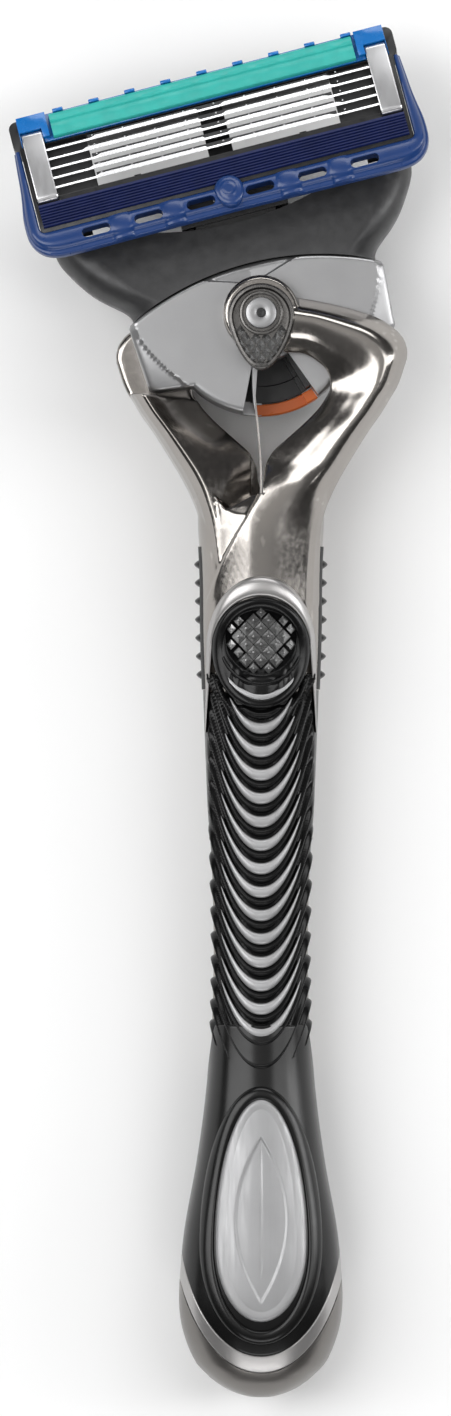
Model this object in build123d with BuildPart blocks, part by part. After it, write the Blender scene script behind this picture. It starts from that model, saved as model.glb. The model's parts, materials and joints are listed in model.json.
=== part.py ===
"""Cartridge razor, lying on its back: handle, swivelling pod and tilting cartridge.

Millimetres. +Y runs along the handle towards the head, +Z out of the front, +X to the right.
The origin is where the pod's swivel axis meets the surface that the razor lies on.
"""

import os
from math import cos, radians, sin

from build123d import *

# ---------------------------------------------------------------- driving dimensions
SWIVEL_REST = 14.5  # the pod rests turned this far, in degrees, about the swivel axis
TILT_REST = 15.0  # the cartridge's face leans back this far at rest
MID_Z = 9.0  # the yoke is the same front and back of this height
POD_BACK, POD_FRONT = 4.0, 14.0
ARM_THICKNESS = 3.1
POD_GAP = 0.3
PIN_RADIUS = 1.5
RUNNING_FIT = 0.05
HINGE_Y, HINGE_Z = 14.2, 12.5  # the cartridge's tilt axis, in the pod's own directions
CAM_ARM = 3.0  # from the tilt axis to the middle of the cam that the plunger pushes
CAM_RADIUS = 0.8
TILT_RANGE = 35.0
BLADE_COUNT = 5
BLADE_PITCH = 1.03
FIRST_BLADE_V = 2.97
FACE_W = 3.2  # the cutting plane's height over the tilt axis
BAND_COUNT = 14
BAND_PITCH = 2.39
FIRST_BAND_Y = -42.7
BAND_SINK = 0.5  # the silver bands lie this far below the rubber ribs
STUD_COUNT = 7
STUD_PITCH = 1.88
GRIP_SPLIT_Z = 8.0  # the frame is below this height along the grip, the rubber above
TRIM_Y = -91.0  # centre of the crescents that end the handle
RUBBER_START_Y, RUBBER_END_Y = -38.0, -77.0
PAD_RISE = 0.9  # the thumb pad's diamonds stand this far over the neck
PAD_FLOOR_Z = 12.4
BEZEL_RISE = 0.35
BEZEL_FLOOR_Z = 10.6
BADGE_FLOOR_Z = 11.8
SPINE_LOW, SPINE_HIGH = (-2.5, -100.0, 3.6), (2.5, -76.9, 7.6)
STRIP_X = 5.5
STRIP_START_Y, STRIP_END_Y = -24.2, -37.9
STRIP_LOW_Z, STRIP_HIGH_Z = 7.4, 10.6
STUD_TIP_X = 6.75
FIRST_STUD_Y = -25.4
BACK_PANEL_LOW, BACK_PANEL_HIGH = (-3.4, -72.0, 0.0), (3.4, -42.0, 3.7)
HUB_RADIUS = 3.9
YOKE_BACK = 2.6
YOKE_ROOT_Y = -7.9  # below this the yoke's walls may stand beside the pod's sweep
YOKE_BLOCK = [
    (13.5, YOKE_ROOT_Y), (10.5, -12.6), (8.5, -15.7), (7.0, -18.6), (6.4, -22),
    (-6.4, -22), (-7.0, -18.6), (-8.5, -15.7), (-10.5, -12.6), (-13.5, YOKE_ROOT_Y),
    (-7.5, YOKE_ROOT_Y), (-6.3, -9), (-3, -12.3), (0, -13.9), (3, -12.3), (6.3, -9), (7.5, YOKE_ROOT_Y),
]
CAP_SEAT_Z = 16.8
CAP_TOP_Z = 18.2
REAR_CAP_RADIUS = 3.4
PIN_HEAD_RADIUS = 1.6
PIN_INNER_Z = 6.6  # how far the rear pin reaches into the pod
LEAF_LINE = ((0, -18.3), (0, -15.5), (-0.45, -10), (-0.85, -5.8), (-0.95, -3), (-0.75, 1.9))
PLATE_LOW, PLATE_HIGH = (-4.3, -75.5, GRIP_SPLIT_Z), (4.3, -41.0, 9.6)
POD_RIM_RADIUS = 10.1
POD_WALL = 1.3
PLATE_THICKNESS = 1.6
SEAM_Y, SEAM_RADIUS = 5.35, 30.2  # the arc where the silver shells meet the hood
WINDOW_RADIUS, WINDOW_LEFT, WINDOW_RIGHT = 4.8, 25.0, 17.0  # the opening that the leaf spring sweeps
CHANNEL_FLOOR_Z = 7.2
FIN_LOW_Z, FIN_ANGLE = 6.4, 14.0
BUMPER_LOW_Z = 4.8
BUSH_RADIUS = 2.3
CORE_LOW_Z, CORE_HIGH_Z = 6.2, 11.4
NOSE_X, NOSE_LOW_Z, NOSE_HIGH_Z, NOSE_END_Y = 4.2, 6.8, 11.3, 12.3
PLUNGER_Z = HINGE_Z - CAM_ARM * cos(radians(TILT_RANGE / 2))
PLUNGER_RADIUS = 1.3
PLUNGER_TIP_Y = HINGE_Y + CAM_ARM * sin(radians(TILT_RANGE / 2)) - CAM_RADIUS - RUNNING_FIT
PLUNGER_LENGTH = 6.0
PLUNGER_BORE_Y = 3.5
HOOD_CORNER, HOOD_WALL = 3.8, 1.1
HOOD_LIP_Y, HOOD_LIP_RADIUS = 9.75, 33.0
BUTTON_SLOT_LOW, BUTTON_SLOT_HIGH = (-2.2, 5.6, 3.0), (2.2, 9.8, 6.0)
SOCKET_X, SOCKET_START_Y, SOCKET_END_Y = 5.6, 10.4, 13.3
ARM_LOW_Y, ARM_HIGH_Y = 13.75, 15.2
JOURNAL_RADIUS, JOURNAL_START_X, JOURNAL_END_X = 1.0, 14.2, 16.4
CAM_ROOM_X = 1.8
CAM_V = CAM_ARM * sin(radians(TILT_REST + TILT_RANGE / 2))
CAM_W = -CAM_ARM * cos(radians(TILT_REST + TILT_RANGE / 2))
BAR_LOW_V = -1.55
TAB_RADIUS, TAB_TOP_W = 1.55, 3.8
DECK_W, TRAY_W = 2.9, 2.3
WINDOW_X, WINDOW_LOW_V, WINDOW_HIGH_V = 17.2, 1.95, 7.65
BRIDGE_W = 1.55
CLIP_X, CLIP_HALF, CLIP_LOW_V, CLIP_HIGH_V = 18.08, 1.08, 1.5, 9.1
SLOT_CENTRES, SLOT_LOW_V, SLOT_HIGH_V = (3.1, 8.6, 14.1), -3.3, -2.2
FIN_COUNT, FINS_LOW_V, FINS_HIGH_V = 8, -1.15, 1.35
TAB_COUNT, TAB_PITCH = 9, 3.79
BLADE_HALF = 17.1
TOOTH_COUNT = 25
LEAF_THICKNESS = 0.2
LEAF_LOW_Z, LEAF_HIGH_Z = 7.6, 10.4
LEAF_SLOT_LOW, LEAF_SLOT_HIGH = (-0.3, -18.4, LEAF_LOW_Z - 0.1), (0.3, -13.0, LEAF_HIGH_Z + 0.1)

# ---------------------------------------------------------------- frames of reference
POD = Plane.XY.rotated((0, 0, SWIVEL_REST))
CARTRIDGE = Plane(POD.location * Location((0, HINGE_Y, HINGE_Z), (-TILT_REST, 0, 0)))


def side_plane(base, x):
    """A plane across base's x direction: its own x runs along base's y, its own y along base's z."""
    return Plane(base.location * Plane.YZ.offset(x).location)


def end_plane(base, y):
    """A plane across base's y direction, facing -y: its own x runs along base's x, its own y along z."""
    return Plane(base.location * Plane.XZ.offset(-y).location)


# ---------------------------------------------------------------- outlines
def polygon(plane, points):
    """A face through points, straight from each to the next."""
    with BuildSketch(plane) as sketch:
        with BuildLine():
            Polyline(*points, close=True)
        make_face()
    return sketch.sketch


def egg(plane, top, centre, bottom, half_width):
    """Two half ellipses that share their widest line, at y = centre."""
    with BuildSketch(plane) as sketch:
        with Locations((0, centre)):
            Ellipse(half_width, top - centre)
            Rectangle(3 * half_width, 3 * half_width, align=(Align.CENTER, Align.MAX), mode=Mode.SUBTRACT)
        with BuildSketch(plane, mode=Mode.PRIVATE) as lower:
            with Locations((0, centre)):
                Ellipse(half_width, centre - bottom)
                Rectangle(3 * half_width, 3 * half_width, align=(Align.CENTER, Align.MIN), mode=Mode.SUBTRACT)
        add(lower.sketch)
    return sketch.sketch


def cap_outline(plane):
    """The front pivot cap: a disc that runs down into a rounded point."""
    with BuildSketch(plane) as sketch:
        with BuildLine():
            ThreePointArc((3.3, -1.2), (0, 3.0), (-3.3, -1.2))
            Spline((-3.3, -1.2), (-2.5, -4.0), (0, -5.8), (2.5, -4.0), (3.3, -1.2))
        make_face()
    return sketch.sketch


def sector(plane, inner, outer, left_angle, right_angle):
    """A ring sector about the origin, from left_angle to right_angle each side of the -y direction."""
    def rim(radius, angle):
        return (radius * sin(radians(angle)), -radius * cos(radians(angle)))

    with BuildSketch(plane) as sketch:
        with BuildLine():
            ThreePointArc(rim(outer, -left_angle), rim(outer, 0), rim(outer, right_angle))
            Line(rim(outer, right_angle), rim(inner, right_angle))
            ThreePointArc(rim(inner, right_angle), rim(inner, 0), rim(inner, -left_angle))
            Line(rim(inner, -left_angle), rim(outer, -left_angle))
        make_face()
    return sketch.sketch


# ---------------------------------------------------------------- the handle's outer form
# Each station along the handle: y, half width, height of the back, height of the front.
HANDLE_STATIONS = (
    (-19.5, 6.6, 2.6, 15.6),
    (-26, 6.2, 2.9, 15.2),
    (-33.5, 6.1, 3.0, 14.8),
    (-47, 5.6, 2.6, 13.8),
    (-56, 5.25, 2.2, 13.2),
    (-65, 5.05, 1.7, 12.7),
    (-75, 5.3, 1.0, 12.6),
    (-81, 5.8, 0.5, 12.9),
    (-87, 6.65, 0.0, 13.4),
    (-93, 7.75, -0.3, 13.8),
    (-97, 8.2, -0.4, 13.9),
    (-101, 8.4, -0.4, 13.7),
    (-104, 8.0, -0.3, 13.2),
    (-107, 6.85, 0.3, 12.2),
    (-109.4, 4.4, 1.8, 10.6),
    (-110.9, 1.6, 4.2, 8.2),
)
GRIP_STATIONS = HANDLE_STATIONS[:9]
BASE_STATIONS = HANDLE_STATIONS[4:]
CORNER_SHARE = 0.45  # corner radius of a cross-section over its smaller side


def handle_sections(stations, front_drop=0.0):
    """The handle's rounded cross-sections, with the front lowered by front_drop."""
    sections = []
    for y, half_width, back, front in stations:
        height = front - front_drop - back
        plane = Plane(origin=(0, y, back + height / 2), x_dir=(1, 0, 0), z_dir=(0, -1, 0))
        with BuildSketch(plane) as section:
            RectangleRounded(2 * half_width, height, CORNER_SHARE * min(2 * half_width, height))
        sections.append(section.sketch)
    return sections


def band_outline(plane, index):
    """One U band: its lower edge rises as a bowl, and it thins towards its two ends."""
    bottom = FIRST_BAND_Y - BAND_PITCH * index
    reach = min(3.2 + 0.25 * index, 4.1)
    rise = 0.45 * reach**1.75
    middle = 0.45 * (reach / 2) ** 1.75
    thick, thin = 1.05, 0.35
    with BuildSketch(plane) as sketch:
        with BuildLine():
            Spline(
                (-reach, bottom + rise),
                (-reach / 2, bottom + middle),
                (0, bottom),
                (reach / 2, bottom + middle),
                (reach, bottom + rise),
            )
            Line((reach, bottom + rise), (reach - thin, bottom + rise))
            Spline(
                (reach - thin, bottom + rise),
                (reach / 2, bottom + middle + 0.8 * thick),
                (0, bottom + thick),
                (-reach / 2, bottom + middle + 0.8 * thick),
                (-reach + thin, bottom + rise),
            )
            Line((-reach + thin, bottom + rise), (-reach, bottom + rise))
        make_face()
    return sketch.sketch



def box_between(low, high, plane=Plane.XY):
    """A sketch on plane, raised to low z, for a box up to high z; returns it and the box's height."""
    with BuildSketch(plane.offset(low[2])) as base:
        with Locations(((low[0] + high[0]) / 2, (low[1] + high[1]) / 2)):
            Rectangle(high[0] - low[0], high[1] - low[1])
    return base.sketch, high[2] - low[2]


with BuildPart() as grip_form:
    loft(handle_sections(GRIP_STATIONS))

with BuildPart() as sunk_form:
    loft(handle_sections(GRIP_STATIONS, BAND_SINK))

with BuildPart() as raised_form:
    loft(handle_sections(GRIP_STATIONS[:5], -PAD_RISE))

with BuildPart() as base_form:
    loft(handle_sections(BASE_STATIONS))
    split(bisect_by=Plane.XY, keep=Keep.TOP)

with BuildPart() as raised_base_form:
    loft(handle_sections(BASE_STATIONS, -BEZEL_RISE))


# ---------------------------------------------------------------- outlines on the handle's front
def pad_outline(plane):
    return egg(plane, -28.8, -34.0, -40.2, 5.05)


def collar_outline(plane):
    return egg(plane, -26.65, -34.0, -41.5, 5.65)


def bezel_outline(plane):
    return egg(plane, -78.7, -95.0, -105.1, 6.3)


def badge_outline(plane):
    return egg(plane, -80.0, -95.0, -102.7, 4.65)


def sleeve_outline(plane):
    """Everything of the base above the first crescent."""
    with BuildSketch(plane) as sketch:
        with Locations((0, TRIM_Y)):
            Ellipse(8.6, 15.3)
            Rectangle(20, 20, align=(Align.CENTER, Align.MIN), mode=Mode.SUBTRACT)
            Rectangle(20, RUBBER_END_Y - TRIM_Y, align=(Align.CENTER, Align.MIN))
    return sketch.sketch


def trim_outline(plane):
    """Everything of the base above the second crescent."""
    with BuildSketch(plane) as sketch:
        with Locations((0, TRIM_Y)):
            Ellipse(9.3, 17.05)
    return sketch.sketch


# ---------------------------------------------------------------- yoke and spine
def arm_outline(plane, side):
    """One arm of the yoke seen from the front; side is 1 for the right arm, -1 for the left."""
    with BuildSketch(plane) as sketch:
        with BuildLine():
            Spline(
                (0, 2.6),
                (side * 6, 1.5),
                (side * 12, -0.4),
                (side * 14.6, -2.3),
                (side * 14.9, -4.4),
                (side * 13.9, -7.2),
                (side * 10.5, -12.6),
                (side * 7.6, -17.2),
            )
            Line((side * 7.6, -17.2), (0, -17.2))
            Line((0, -17.2), (0, -13.9))
            Spline(
                (0, -13.9),
                (side * 3, -12.3),
                (side * 6.3, -9),
                (side * 7.2, -7),
                (side * 5.6, -4.7),
                (0, -3.4),
            )
            Line((0, -3.4), (0, 2.6))
        make_face()
        Circle(HUB_RADIUS)
    return sketch.sketch


with BuildPart() as front_arm:
    extrude(arm_outline(Plane.XY.offset(POD_FRONT + POD_GAP), 1), amount=ARM_THICKNESS)

with BuildPart() as rear_arm:
    extrude(arm_outline(Plane.XY.offset(POD_BACK - POD_GAP - ARM_THICKNESS), -1), amount=ARM_THICKNESS)

with BuildPart() as handle_frame:
    extrude(polygon(Plane.XY.offset(YOKE_BACK), YOKE_BLOCK), amount=2 * (MID_Z - YOKE_BACK))
    add(front_arm.part)
    add(rear_arm.part)
    # The yoke's front and back faces slope down to the neck.
    for facing in (1, -1):
        slope = [(-9, 9.2), (-22, 6.4), (-22, 12), (-9, 12)]
        wedge = [(y, MID_Z + facing * height) for y, height in slope]
        extrude(polygon(side_plane(Plane.XY, -20), wedge), amount=40, mode=Mode.SUBTRACT)
    add(grip_form.part)
    # The rubber takes the upper half of the grip, and the base sleeve takes over at its end.
    extrude(*box_between((-9, -90, GRIP_SPLIT_Z), (9, RUBBER_START_Y, 20)), mode=Mode.SUBTRACT)
    extrude(*box_between((-9, -90, -1), (9, RUBBER_END_Y, 20)), mode=Mode.SUBTRACT)
    extrude(*box_between(SPINE_LOW, SPINE_HIGH))
    # Pockets for the thumb pad and its collar, the side grips and the back grip.
    extrude(collar_outline(Plane.XY.offset(PAD_FLOOR_Z)), amount=6, mode=Mode.SUBTRACT)
    for side in (1, -1):
        strip_low = (min(side * STRIP_X, side * 9), STRIP_END_Y, STRIP_LOW_Z)
        strip_high = (max(side * STRIP_X, side * 9), STRIP_START_Y, STRIP_HIGH_Z)
        extrude(*box_between(strip_low, strip_high), mode=Mode.SUBTRACT)
    extrude(*box_between(BACK_PANEL_LOW, BACK_PANEL_HIGH), mode=Mode.SUBTRACT)
    # The bore for the two pivot pins, the recess of each cap, and the leaf spring's slot.
    with Locations((0, 0, MID_Z)):
        Cylinder(PIN_RADIUS, 4 * MID_Z, mode=Mode.SUBTRACT)
    extrude(cap_outline(Plane.XY.offset(CAP_SEAT_Z)), amount=3, mode=Mode.SUBTRACT)
    with Locations((0, 0, 2 * MID_Z - CAP_SEAT_Z)):
        Cylinder(REAR_CAP_RADIUS, 3, align=(Align.CENTER, Align.CENTER, Align.MAX), mode=Mode.SUBTRACT)
    extrude(*box_between(LEAF_SLOT_LOW, LEAF_SLOT_HIGH), mode=Mode.SUBTRACT)
handle_frame.part.label = "handle_frame"

# ---------------------------------------------------------------- pieces on the handle
with BuildPart() as front_pivot_cap:
    extrude(cap_outline(Plane.XY.offset(CAP_SEAT_Z)), amount=CAP_TOP_Z - CAP_SEAT_Z)
    chamfer(front_pivot_cap.faces().sort_by(Axis.Z)[-1].edges(), 0.35)
    with Locations((0, 0, CAP_TOP_Z)):
        hung_below = (Align.CENTER, Align.CENTER, Align.MAX)
        Cylinder(PIN_HEAD_RADIUS + 0.3, 0.7, align=hung_below, mode=Mode.SUBTRACT)
    with Locations((0, 0, CAP_SEAT_Z)):
        Cylinder(PIN_RADIUS, 6, mode=Mode.SUBTRACT)
front_pivot_cap.part.label = "front_pivot_cap"

with BuildPart() as front_pivot_pin:
    with BuildSketch(Plane.XZ) as half_pin:
        with BuildLine():
            Polyline(
                (0, 2 * MID_Z - PIN_INNER_Z),
                (PIN_RADIUS, 2 * MID_Z - PIN_INNER_Z),
                (PIN_RADIUS, CAP_TOP_Z - 0.7),
                (PIN_HEAD_RADIUS, CAP_TOP_Z - 0.7),
                (PIN_HEAD_RADIUS, CAP_TOP_Z - 0.15),
                (PIN_HEAD_RADIUS - 0.15, CAP_TOP_Z),
                (0.5, CAP_TOP_Z),
                (0, CAP_TOP_Z - 0.3),
                close=True,
            )
        make_face()
    revolve(axis=Axis.Z)
front_pivot_pin.part.label = "front_pivot_pin"

with BuildPart() as rear_pivot_cap:
    with BuildSketch():
        Circle(REAR_CAP_RADIUS)
    extrude(amount=2 * MID_Z - CAP_SEAT_Z)
    chamfer(rear_pivot_cap.faces().sort_by(Axis.Z)[0].edges(), 0.3)
rear_pivot_cap.part.label = "rear_pivot_cap"

with BuildPart() as rear_pivot_pin:
    with BuildSketch(Plane.XY.offset(2 * MID_Z - CAP_SEAT_Z)):
        Circle(PIN_RADIUS)
    extrude(amount=PIN_INNER_Z - (2 * MID_Z - CAP_SEAT_Z))
rear_pivot_pin.part.label = "rear_pivot_pin"

with BuildPart() as tail_spring:
    with BuildSketch(Plane.XY.offset(LEAF_LOW_Z)):
        with BuildLine():
            left_side = Spline(*[(x - LEAF_THICKNESS / 2, y) for x, y in LEAF_LINE])
            right_side = Spline(*[(x + LEAF_THICKNESS / 2, y) for x, y in LEAF_LINE])
            Line(left_side @ 0, right_side @ 0)
            Line(left_side @ 1, right_side @ 1)
        make_face()
    extrude(amount=LEAF_HIGH_Z - LEAF_LOW_Z)
tail_spring.part.label = "tail_spring"

with BuildPart() as thumb_collar:
    add(raised_form.part)
    extrude(collar_outline(Plane.XY.offset(PAD_FLOOR_Z)), amount=6, mode=Mode.INTERSECT)
    extrude(pad_outline(Plane.XY.offset(PAD_FLOOR_Z)), amount=6, mode=Mode.SUBTRACT)
    extrude(*box_between((-9, -60, 0), (9, RUBBER_START_Y, 20)), mode=Mode.SUBTRACT)
thumb_collar.part.label = "thumb_collar"

with BuildPart() as thumb_pad:
    add(raised_form.part)
    extrude(pad_outline(Plane.XY.offset(PAD_FLOOR_Z)), amount=6, mode=Mode.INTERSECT)
thumb_pad.part.label = "thumb_pad"

side_grips = {}
for side, name in ((1, "side_grip_right"), (-1, "side_grip_left")):
    low = (min(side * STRIP_X, side * 9), STRIP_END_Y, STRIP_LOW_Z)
    high = (max(side * STRIP_X, side * 9), STRIP_START_Y, STRIP_HIGH_Z)
    with BuildPart() as side_grip:
        add(grip_form.part)
        extrude(*box_between(low, high), mode=Mode.INTERSECT)
        with Locations([(side * 5.9, FIRST_STUD_Y - STUD_PITCH * k, MID_Z) for k in range(STUD_COUNT)]):
            Box(2 * (STUD_TIP_X - 5.9), 0.85, 2.6)
        extrude(*box_between((-STRIP_X, -40, 5), (STRIP_X, -20, 13)), mode=Mode.SUBTRACT)
    side_grip.part.label = name
    side_grips[name] = side_grip.part

with BuildPart() as grip_rubber:
    add(grip_form.part)
    extrude(*box_between((-9, RUBBER_END_Y, GRIP_SPLIT_Z), (9, RUBBER_START_Y, 20)), mode=Mode.INTERSECT)
    extrude(pad_outline(Plane.XY.offset(PAD_FLOOR_Z)), amount=6, mode=Mode.SUBTRACT)
    extrude(*box_between(PLATE_LOW, PLATE_HIGH), mode=Mode.SUBTRACT)
    for index in range(BAND_COUNT):
        extrude(band_outline(Plane.XY.offset(PLATE_HIGH[2] - 0.1), index), amount=6, mode=Mode.SUBTRACT)
grip_rubber.part.label = "grip_rubber"

with BuildPart() as grip_insert:
    for index in range(BAND_COUNT):
        extrude(band_outline(Plane.XY.offset(PLATE_HIGH[2] - 0.1), index), amount=6)
    add(sunk_form.part, mode=Mode.INTERSECT)
    extrude(pad_outline(Plane.XY.offset(PAD_FLOOR_Z)), amount=6, mode=Mode.SUBTRACT)
    extrude(*box_between(PLATE_LOW, PLATE_HIGH))
grip_insert.part.label = "grip_insert"

with BuildPart() as back_grip:
    add(grip_form.part)
    extrude(*box_between(BACK_PANEL_LOW, BACK_PANEL_HIGH), mode=Mode.INTERSECT)
back_grip.part.label = "back_grip"

with BuildPart() as base_sleeve:
    add(base_form.part)
    extrude(sleeve_outline(Plane.XY.offset(-1)), amount=20, mode=Mode.INTERSECT)
    extrude(*box_between(SPINE_LOW, SPINE_HIGH), mode=Mode.SUBTRACT)
    extrude(bezel_outline(Plane.XY.offset(BEZEL_FLOOR_Z)), amount=6, mode=Mode.SUBTRACT)
base_sleeve.part.label = "base_sleeve"

with BuildPart() as badge_bezel:
    add(raised_base_form.part)
    extrude(bezel_outline(Plane.XY.offset(BEZEL_FLOOR_Z)), amount=6, mode=Mode.INTERSECT)
    extrude(badge_outline(Plane.XY.offset(BADGE_FLOOR_Z)), amount=6, mode=Mode.SUBTRACT)
badge_bezel.part.label = "badge_bezel"

with BuildPart() as badge_plate:
    add(base_form.part)
    extrude(badge_outline(Plane.XY.offset(BADGE_FLOOR_Z)), amount=6, mode=Mode.INTERSECT)
badge_plate.part.label = "badge_plate"

with BuildPart() as end_trim:
    add(base_form.part)
    extrude(*box_between((-12, -120, -1), (12, TRIM_Y, 20)), mode=Mode.INTERSECT)
    extrude(trim_outline(Plane.XY.offset(-1)), amount=20, mode=Mode.INTERSECT)
    extrude(sleeve_outline(Plane.XY.offset(-1)), amount=20, mode=Mode.SUBTRACT)
end_trim.part.label = "end_trim"

with BuildPart() as end_cap:
    add(base_form.part)
    extrude(*box_between((-12, -120, -1), (12, TRIM_Y, 20)), mode=Mode.INTERSECT)
    extrude(sleeve_outline(Plane.XY.offset(-1)), amount=20, mode=Mode.SUBTRACT)
    extrude(trim_outline(Plane.XY.offset(-1)), amount=20, mode=Mode.SUBTRACT)
end_cap.part.label = "end_cap"


# ---------------------------------------------------------------- the pod
def shell_outline(plane, inset=0.0):
    """The pod's silver body: straight sides, small shoulders, and an arc about the swivel axis."""
    side, shoulder, rim = 13.4 - inset, 13.0 - inset, POD_RIM_RADIUS - inset
    foot = (0.851 * rim, -0.525 * rim)
    lower_corner = ((shoulder - 0.6, -4.8 + inset), (shoulder, -4.4 + inset))
    right_side = (foot, *lower_corner, (side, 2.4), (side, 9))
    with BuildSketch(plane) as sketch:
        with BuildLine():
            Polyline(*right_side)
            Line((side, 9), (-side, 9))
            Polyline(*((-x, y) for x, y in right_side))
            ThreePointArc((-foot[0], foot[1]), (0, -rim), (foot[0], foot[1]))
        make_face()
        with Locations((0, SEAM_Y - SEAM_RADIUS)):
            Circle(SEAM_RADIUS - 0.05, mode=Mode.INTERSECT)
    return sketch.sketch


def hollow_outline(plane):
    """The space inside the silver shells, open towards the cartridge."""
    with BuildSketch(plane) as sketch:
        add(shell_outline(Plane.XY, POD_WALL))
        with Locations((0, 5.5)):
            Rectangle(2 * (13.4 - POD_WALL), 9)
    return sketch.sketch


with BuildPart(POD) as pod_shell_front:
    extrude(shell_outline(POD.offset(MID_Z)), amount=POD_FRONT - 0.1 - MID_Z)
    hollow = hollow_outline(POD.offset(MID_Z))
    extrude(hollow, amount=POD_FRONT - PLATE_THICKNESS - MID_Z, mode=Mode.SUBTRACT)
    window = sector(POD.offset(MID_Z), WINDOW_RADIUS, 12, WINDOW_LEFT, WINDOW_RIGHT)
    extrude(window, amount=6, mode=Mode.SUBTRACT)
    with Locations((0, 0, POD_FRONT)):
        Cylinder(BUSH_RADIUS, 6, mode=Mode.SUBTRACT)
pod_shell_front.part.label = "pod_shell_front"

with BuildPart(POD) as pod_shell_rear:
    extrude(shell_outline(POD.offset(POD_BACK + 0.1)), amount=MID_Z - POD_BACK - 0.1)
    extrude(hollow_outline(POD.offset(POD_BACK + PLATE_THICKNESS)), amount=6, mode=Mode.SUBTRACT)
    window = sector(POD.offset(CHANNEL_FLOOR_Z), WINDOW_RADIUS, 12, WINDOW_LEFT, WINDOW_RIGHT)
    extrude(window, amount=6, mode=Mode.SUBTRACT)
    inner_radius = POD_RIM_RADIUS - POD_WALL - 0.05
    bumper_seat = sector(POD.offset(BUMPER_LOW_Z), inner_radius, 12, FIN_ANGLE, FIN_ANGLE)
    extrude(bumper_seat, amount=6, mode=Mode.SUBTRACT)
    with Locations((0, 0, POD_BACK)):
        Cylinder(BUSH_RADIUS, 6, mode=Mode.SUBTRACT)
pod_shell_rear.part.label = "pod_shell_rear"

with BuildPart(POD) as pod_core:
    with BuildSketch(POD.offset(POD_BACK + PLATE_THICKNESS)):
        Circle(POD_RIM_RADIUS - POD_WALL - 0.1)
        Rectangle(40, 20, align=(Align.CENTER, Align.MIN), mode=Mode.SUBTRACT)
    extrude(amount=POD_FRONT - POD_BACK - 2 * PLATE_THICKNESS)
    extrude(*box_between((-9.5, 0, CORE_LOW_Z), (9.5, 9.4, CORE_HIGH_Z), POD))
    extrude(*box_between((-NOSE_X, 9.4, NOSE_LOW_Z), (NOSE_X, NOSE_END_Y, NOSE_HIGH_Z), POD))
    for base, height in ((POD_BACK, 6.8 - POD_BACK), (2 * MID_Z - 6.8, 6)):
        with BuildSketch(POD.offset(base)):
            Circle(BUSH_RADIUS)
        extrude(amount=height, mode=Mode.SUBTRACT)
    # The leaf spring's channel: covered near the axis, open to the front further out.
    leaf_room = box_between((-2.3, -5.0, CHANNEL_FLOOR_Z), (2.3, 2.6, 2 * MID_Z - CHANNEL_FLOOR_Z), POD)
    extrude(*leaf_room, mode=Mode.SUBTRACT)
    window = sector(POD.offset(CHANNEL_FLOOR_Z), WINDOW_RADIUS, 12, WINDOW_LEFT, WINDOW_RIGHT)
    extrude(window, amount=6, mode=Mode.SUBTRACT)
    fin_seat = sector(POD.offset(FIN_LOW_Z), WINDOW_RADIUS + 0.2, 12, FIN_ANGLE, FIN_ANGLE)
    extrude(fin_seat, amount=1, mode=Mode.SUBTRACT)
    # The upper half of the ejector spring's groove.
    extrude(*box_between((-0.65, 2.2, CORE_LOW_Z - 0.1), (0.65, 6.0, CORE_LOW_Z + 0.65), POD), mode=Mode.SUBTRACT)
    # The blind bore for the plunger and its spring.
    with BuildSketch(end_plane(POD, NOSE_END_Y)):
        with Locations((0, PLUNGER_Z)):
            Circle(PLUNGER_RADIUS + RUNNING_FIT)
    extrude(amount=NOSE_END_Y - PLUNGER_BORE_Y, mode=Mode.SUBTRACT)
pod_core.part.label = "pod_core"

with BuildPart(POD) as pod_fin:
    half_angle = FIN_ANGLE - 0.5
    fin_outline = sector(POD.offset(FIN_LOW_Z), WINDOW_RADIUS + 0.3, 8.6, half_angle, half_angle)
    extrude(fin_outline, amount=CHANNEL_FLOOR_Z - FIN_LOW_Z)
pod_fin.part.label = "pod_fin"

with BuildPart(POD) as pod_bumper:
    half_angle = FIN_ANGLE - 0.3
    bumper_outline = sector(POD.offset(BUMPER_LOW_Z), 8.95, POD_RIM_RADIUS + 0.05, half_angle, half_angle)
    extrude(bumper_outline, amount=CHANNEL_FLOOR_Z - BUMPER_LOW_Z)
pod_bumper.part.label = "pod_bumper"

bushes = {}
for name, low in (("rear_bush", POD_BACK + 0.1), ("front_bush", 2 * MID_Z - 6.7)):
    with BuildPart(POD) as bush:
        with BuildSketch(POD.offset(low)):
            Circle(BUSH_RADIUS)
            Circle(PIN_RADIUS + RUNNING_FIT, mode=Mode.SUBTRACT)
        extrude(amount=6.7 - POD_BACK - 0.1)
    bush.part.label = name
    bushes[name] = bush.part

# Each station of the hood: y, half width, height of its back, height of its front.
HOOD_STATIONS = (
    (1.8, 12.9, 4.0, 14.0),
    (3.8, 13.4, 4.0, 14.0),
    (5.0, 14.8, 4.0, 13.95),
    (7.0, 16.7, 4.0, 13.7),
    (9.0, 18.0, 4.0, 13.2),
    (11.3, 18.8, 4.2, 12.6),
)


def hood_sections(inset=0.0, overrun=0.0):
    """The hood's rounded cross-sections, drawn in by inset and run past both ends by overrun."""
    sections = []
    last = len(HOOD_STATIONS) - 1
    for index, (y, half_width, back, front) in enumerate(HOOD_STATIONS):
        y += {0: -overrun, last: overrun}.get(index, 0.0)
        with BuildSketch(end_plane(POD, y)) as section:
            with Locations((0, (back + front) / 2)):
                height = front - back - 2 * inset
                RectangleRounded(2 * (half_width - inset), height, HOOD_CORNER - inset)
        sections.append(section.sketch)
    return sections


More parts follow.
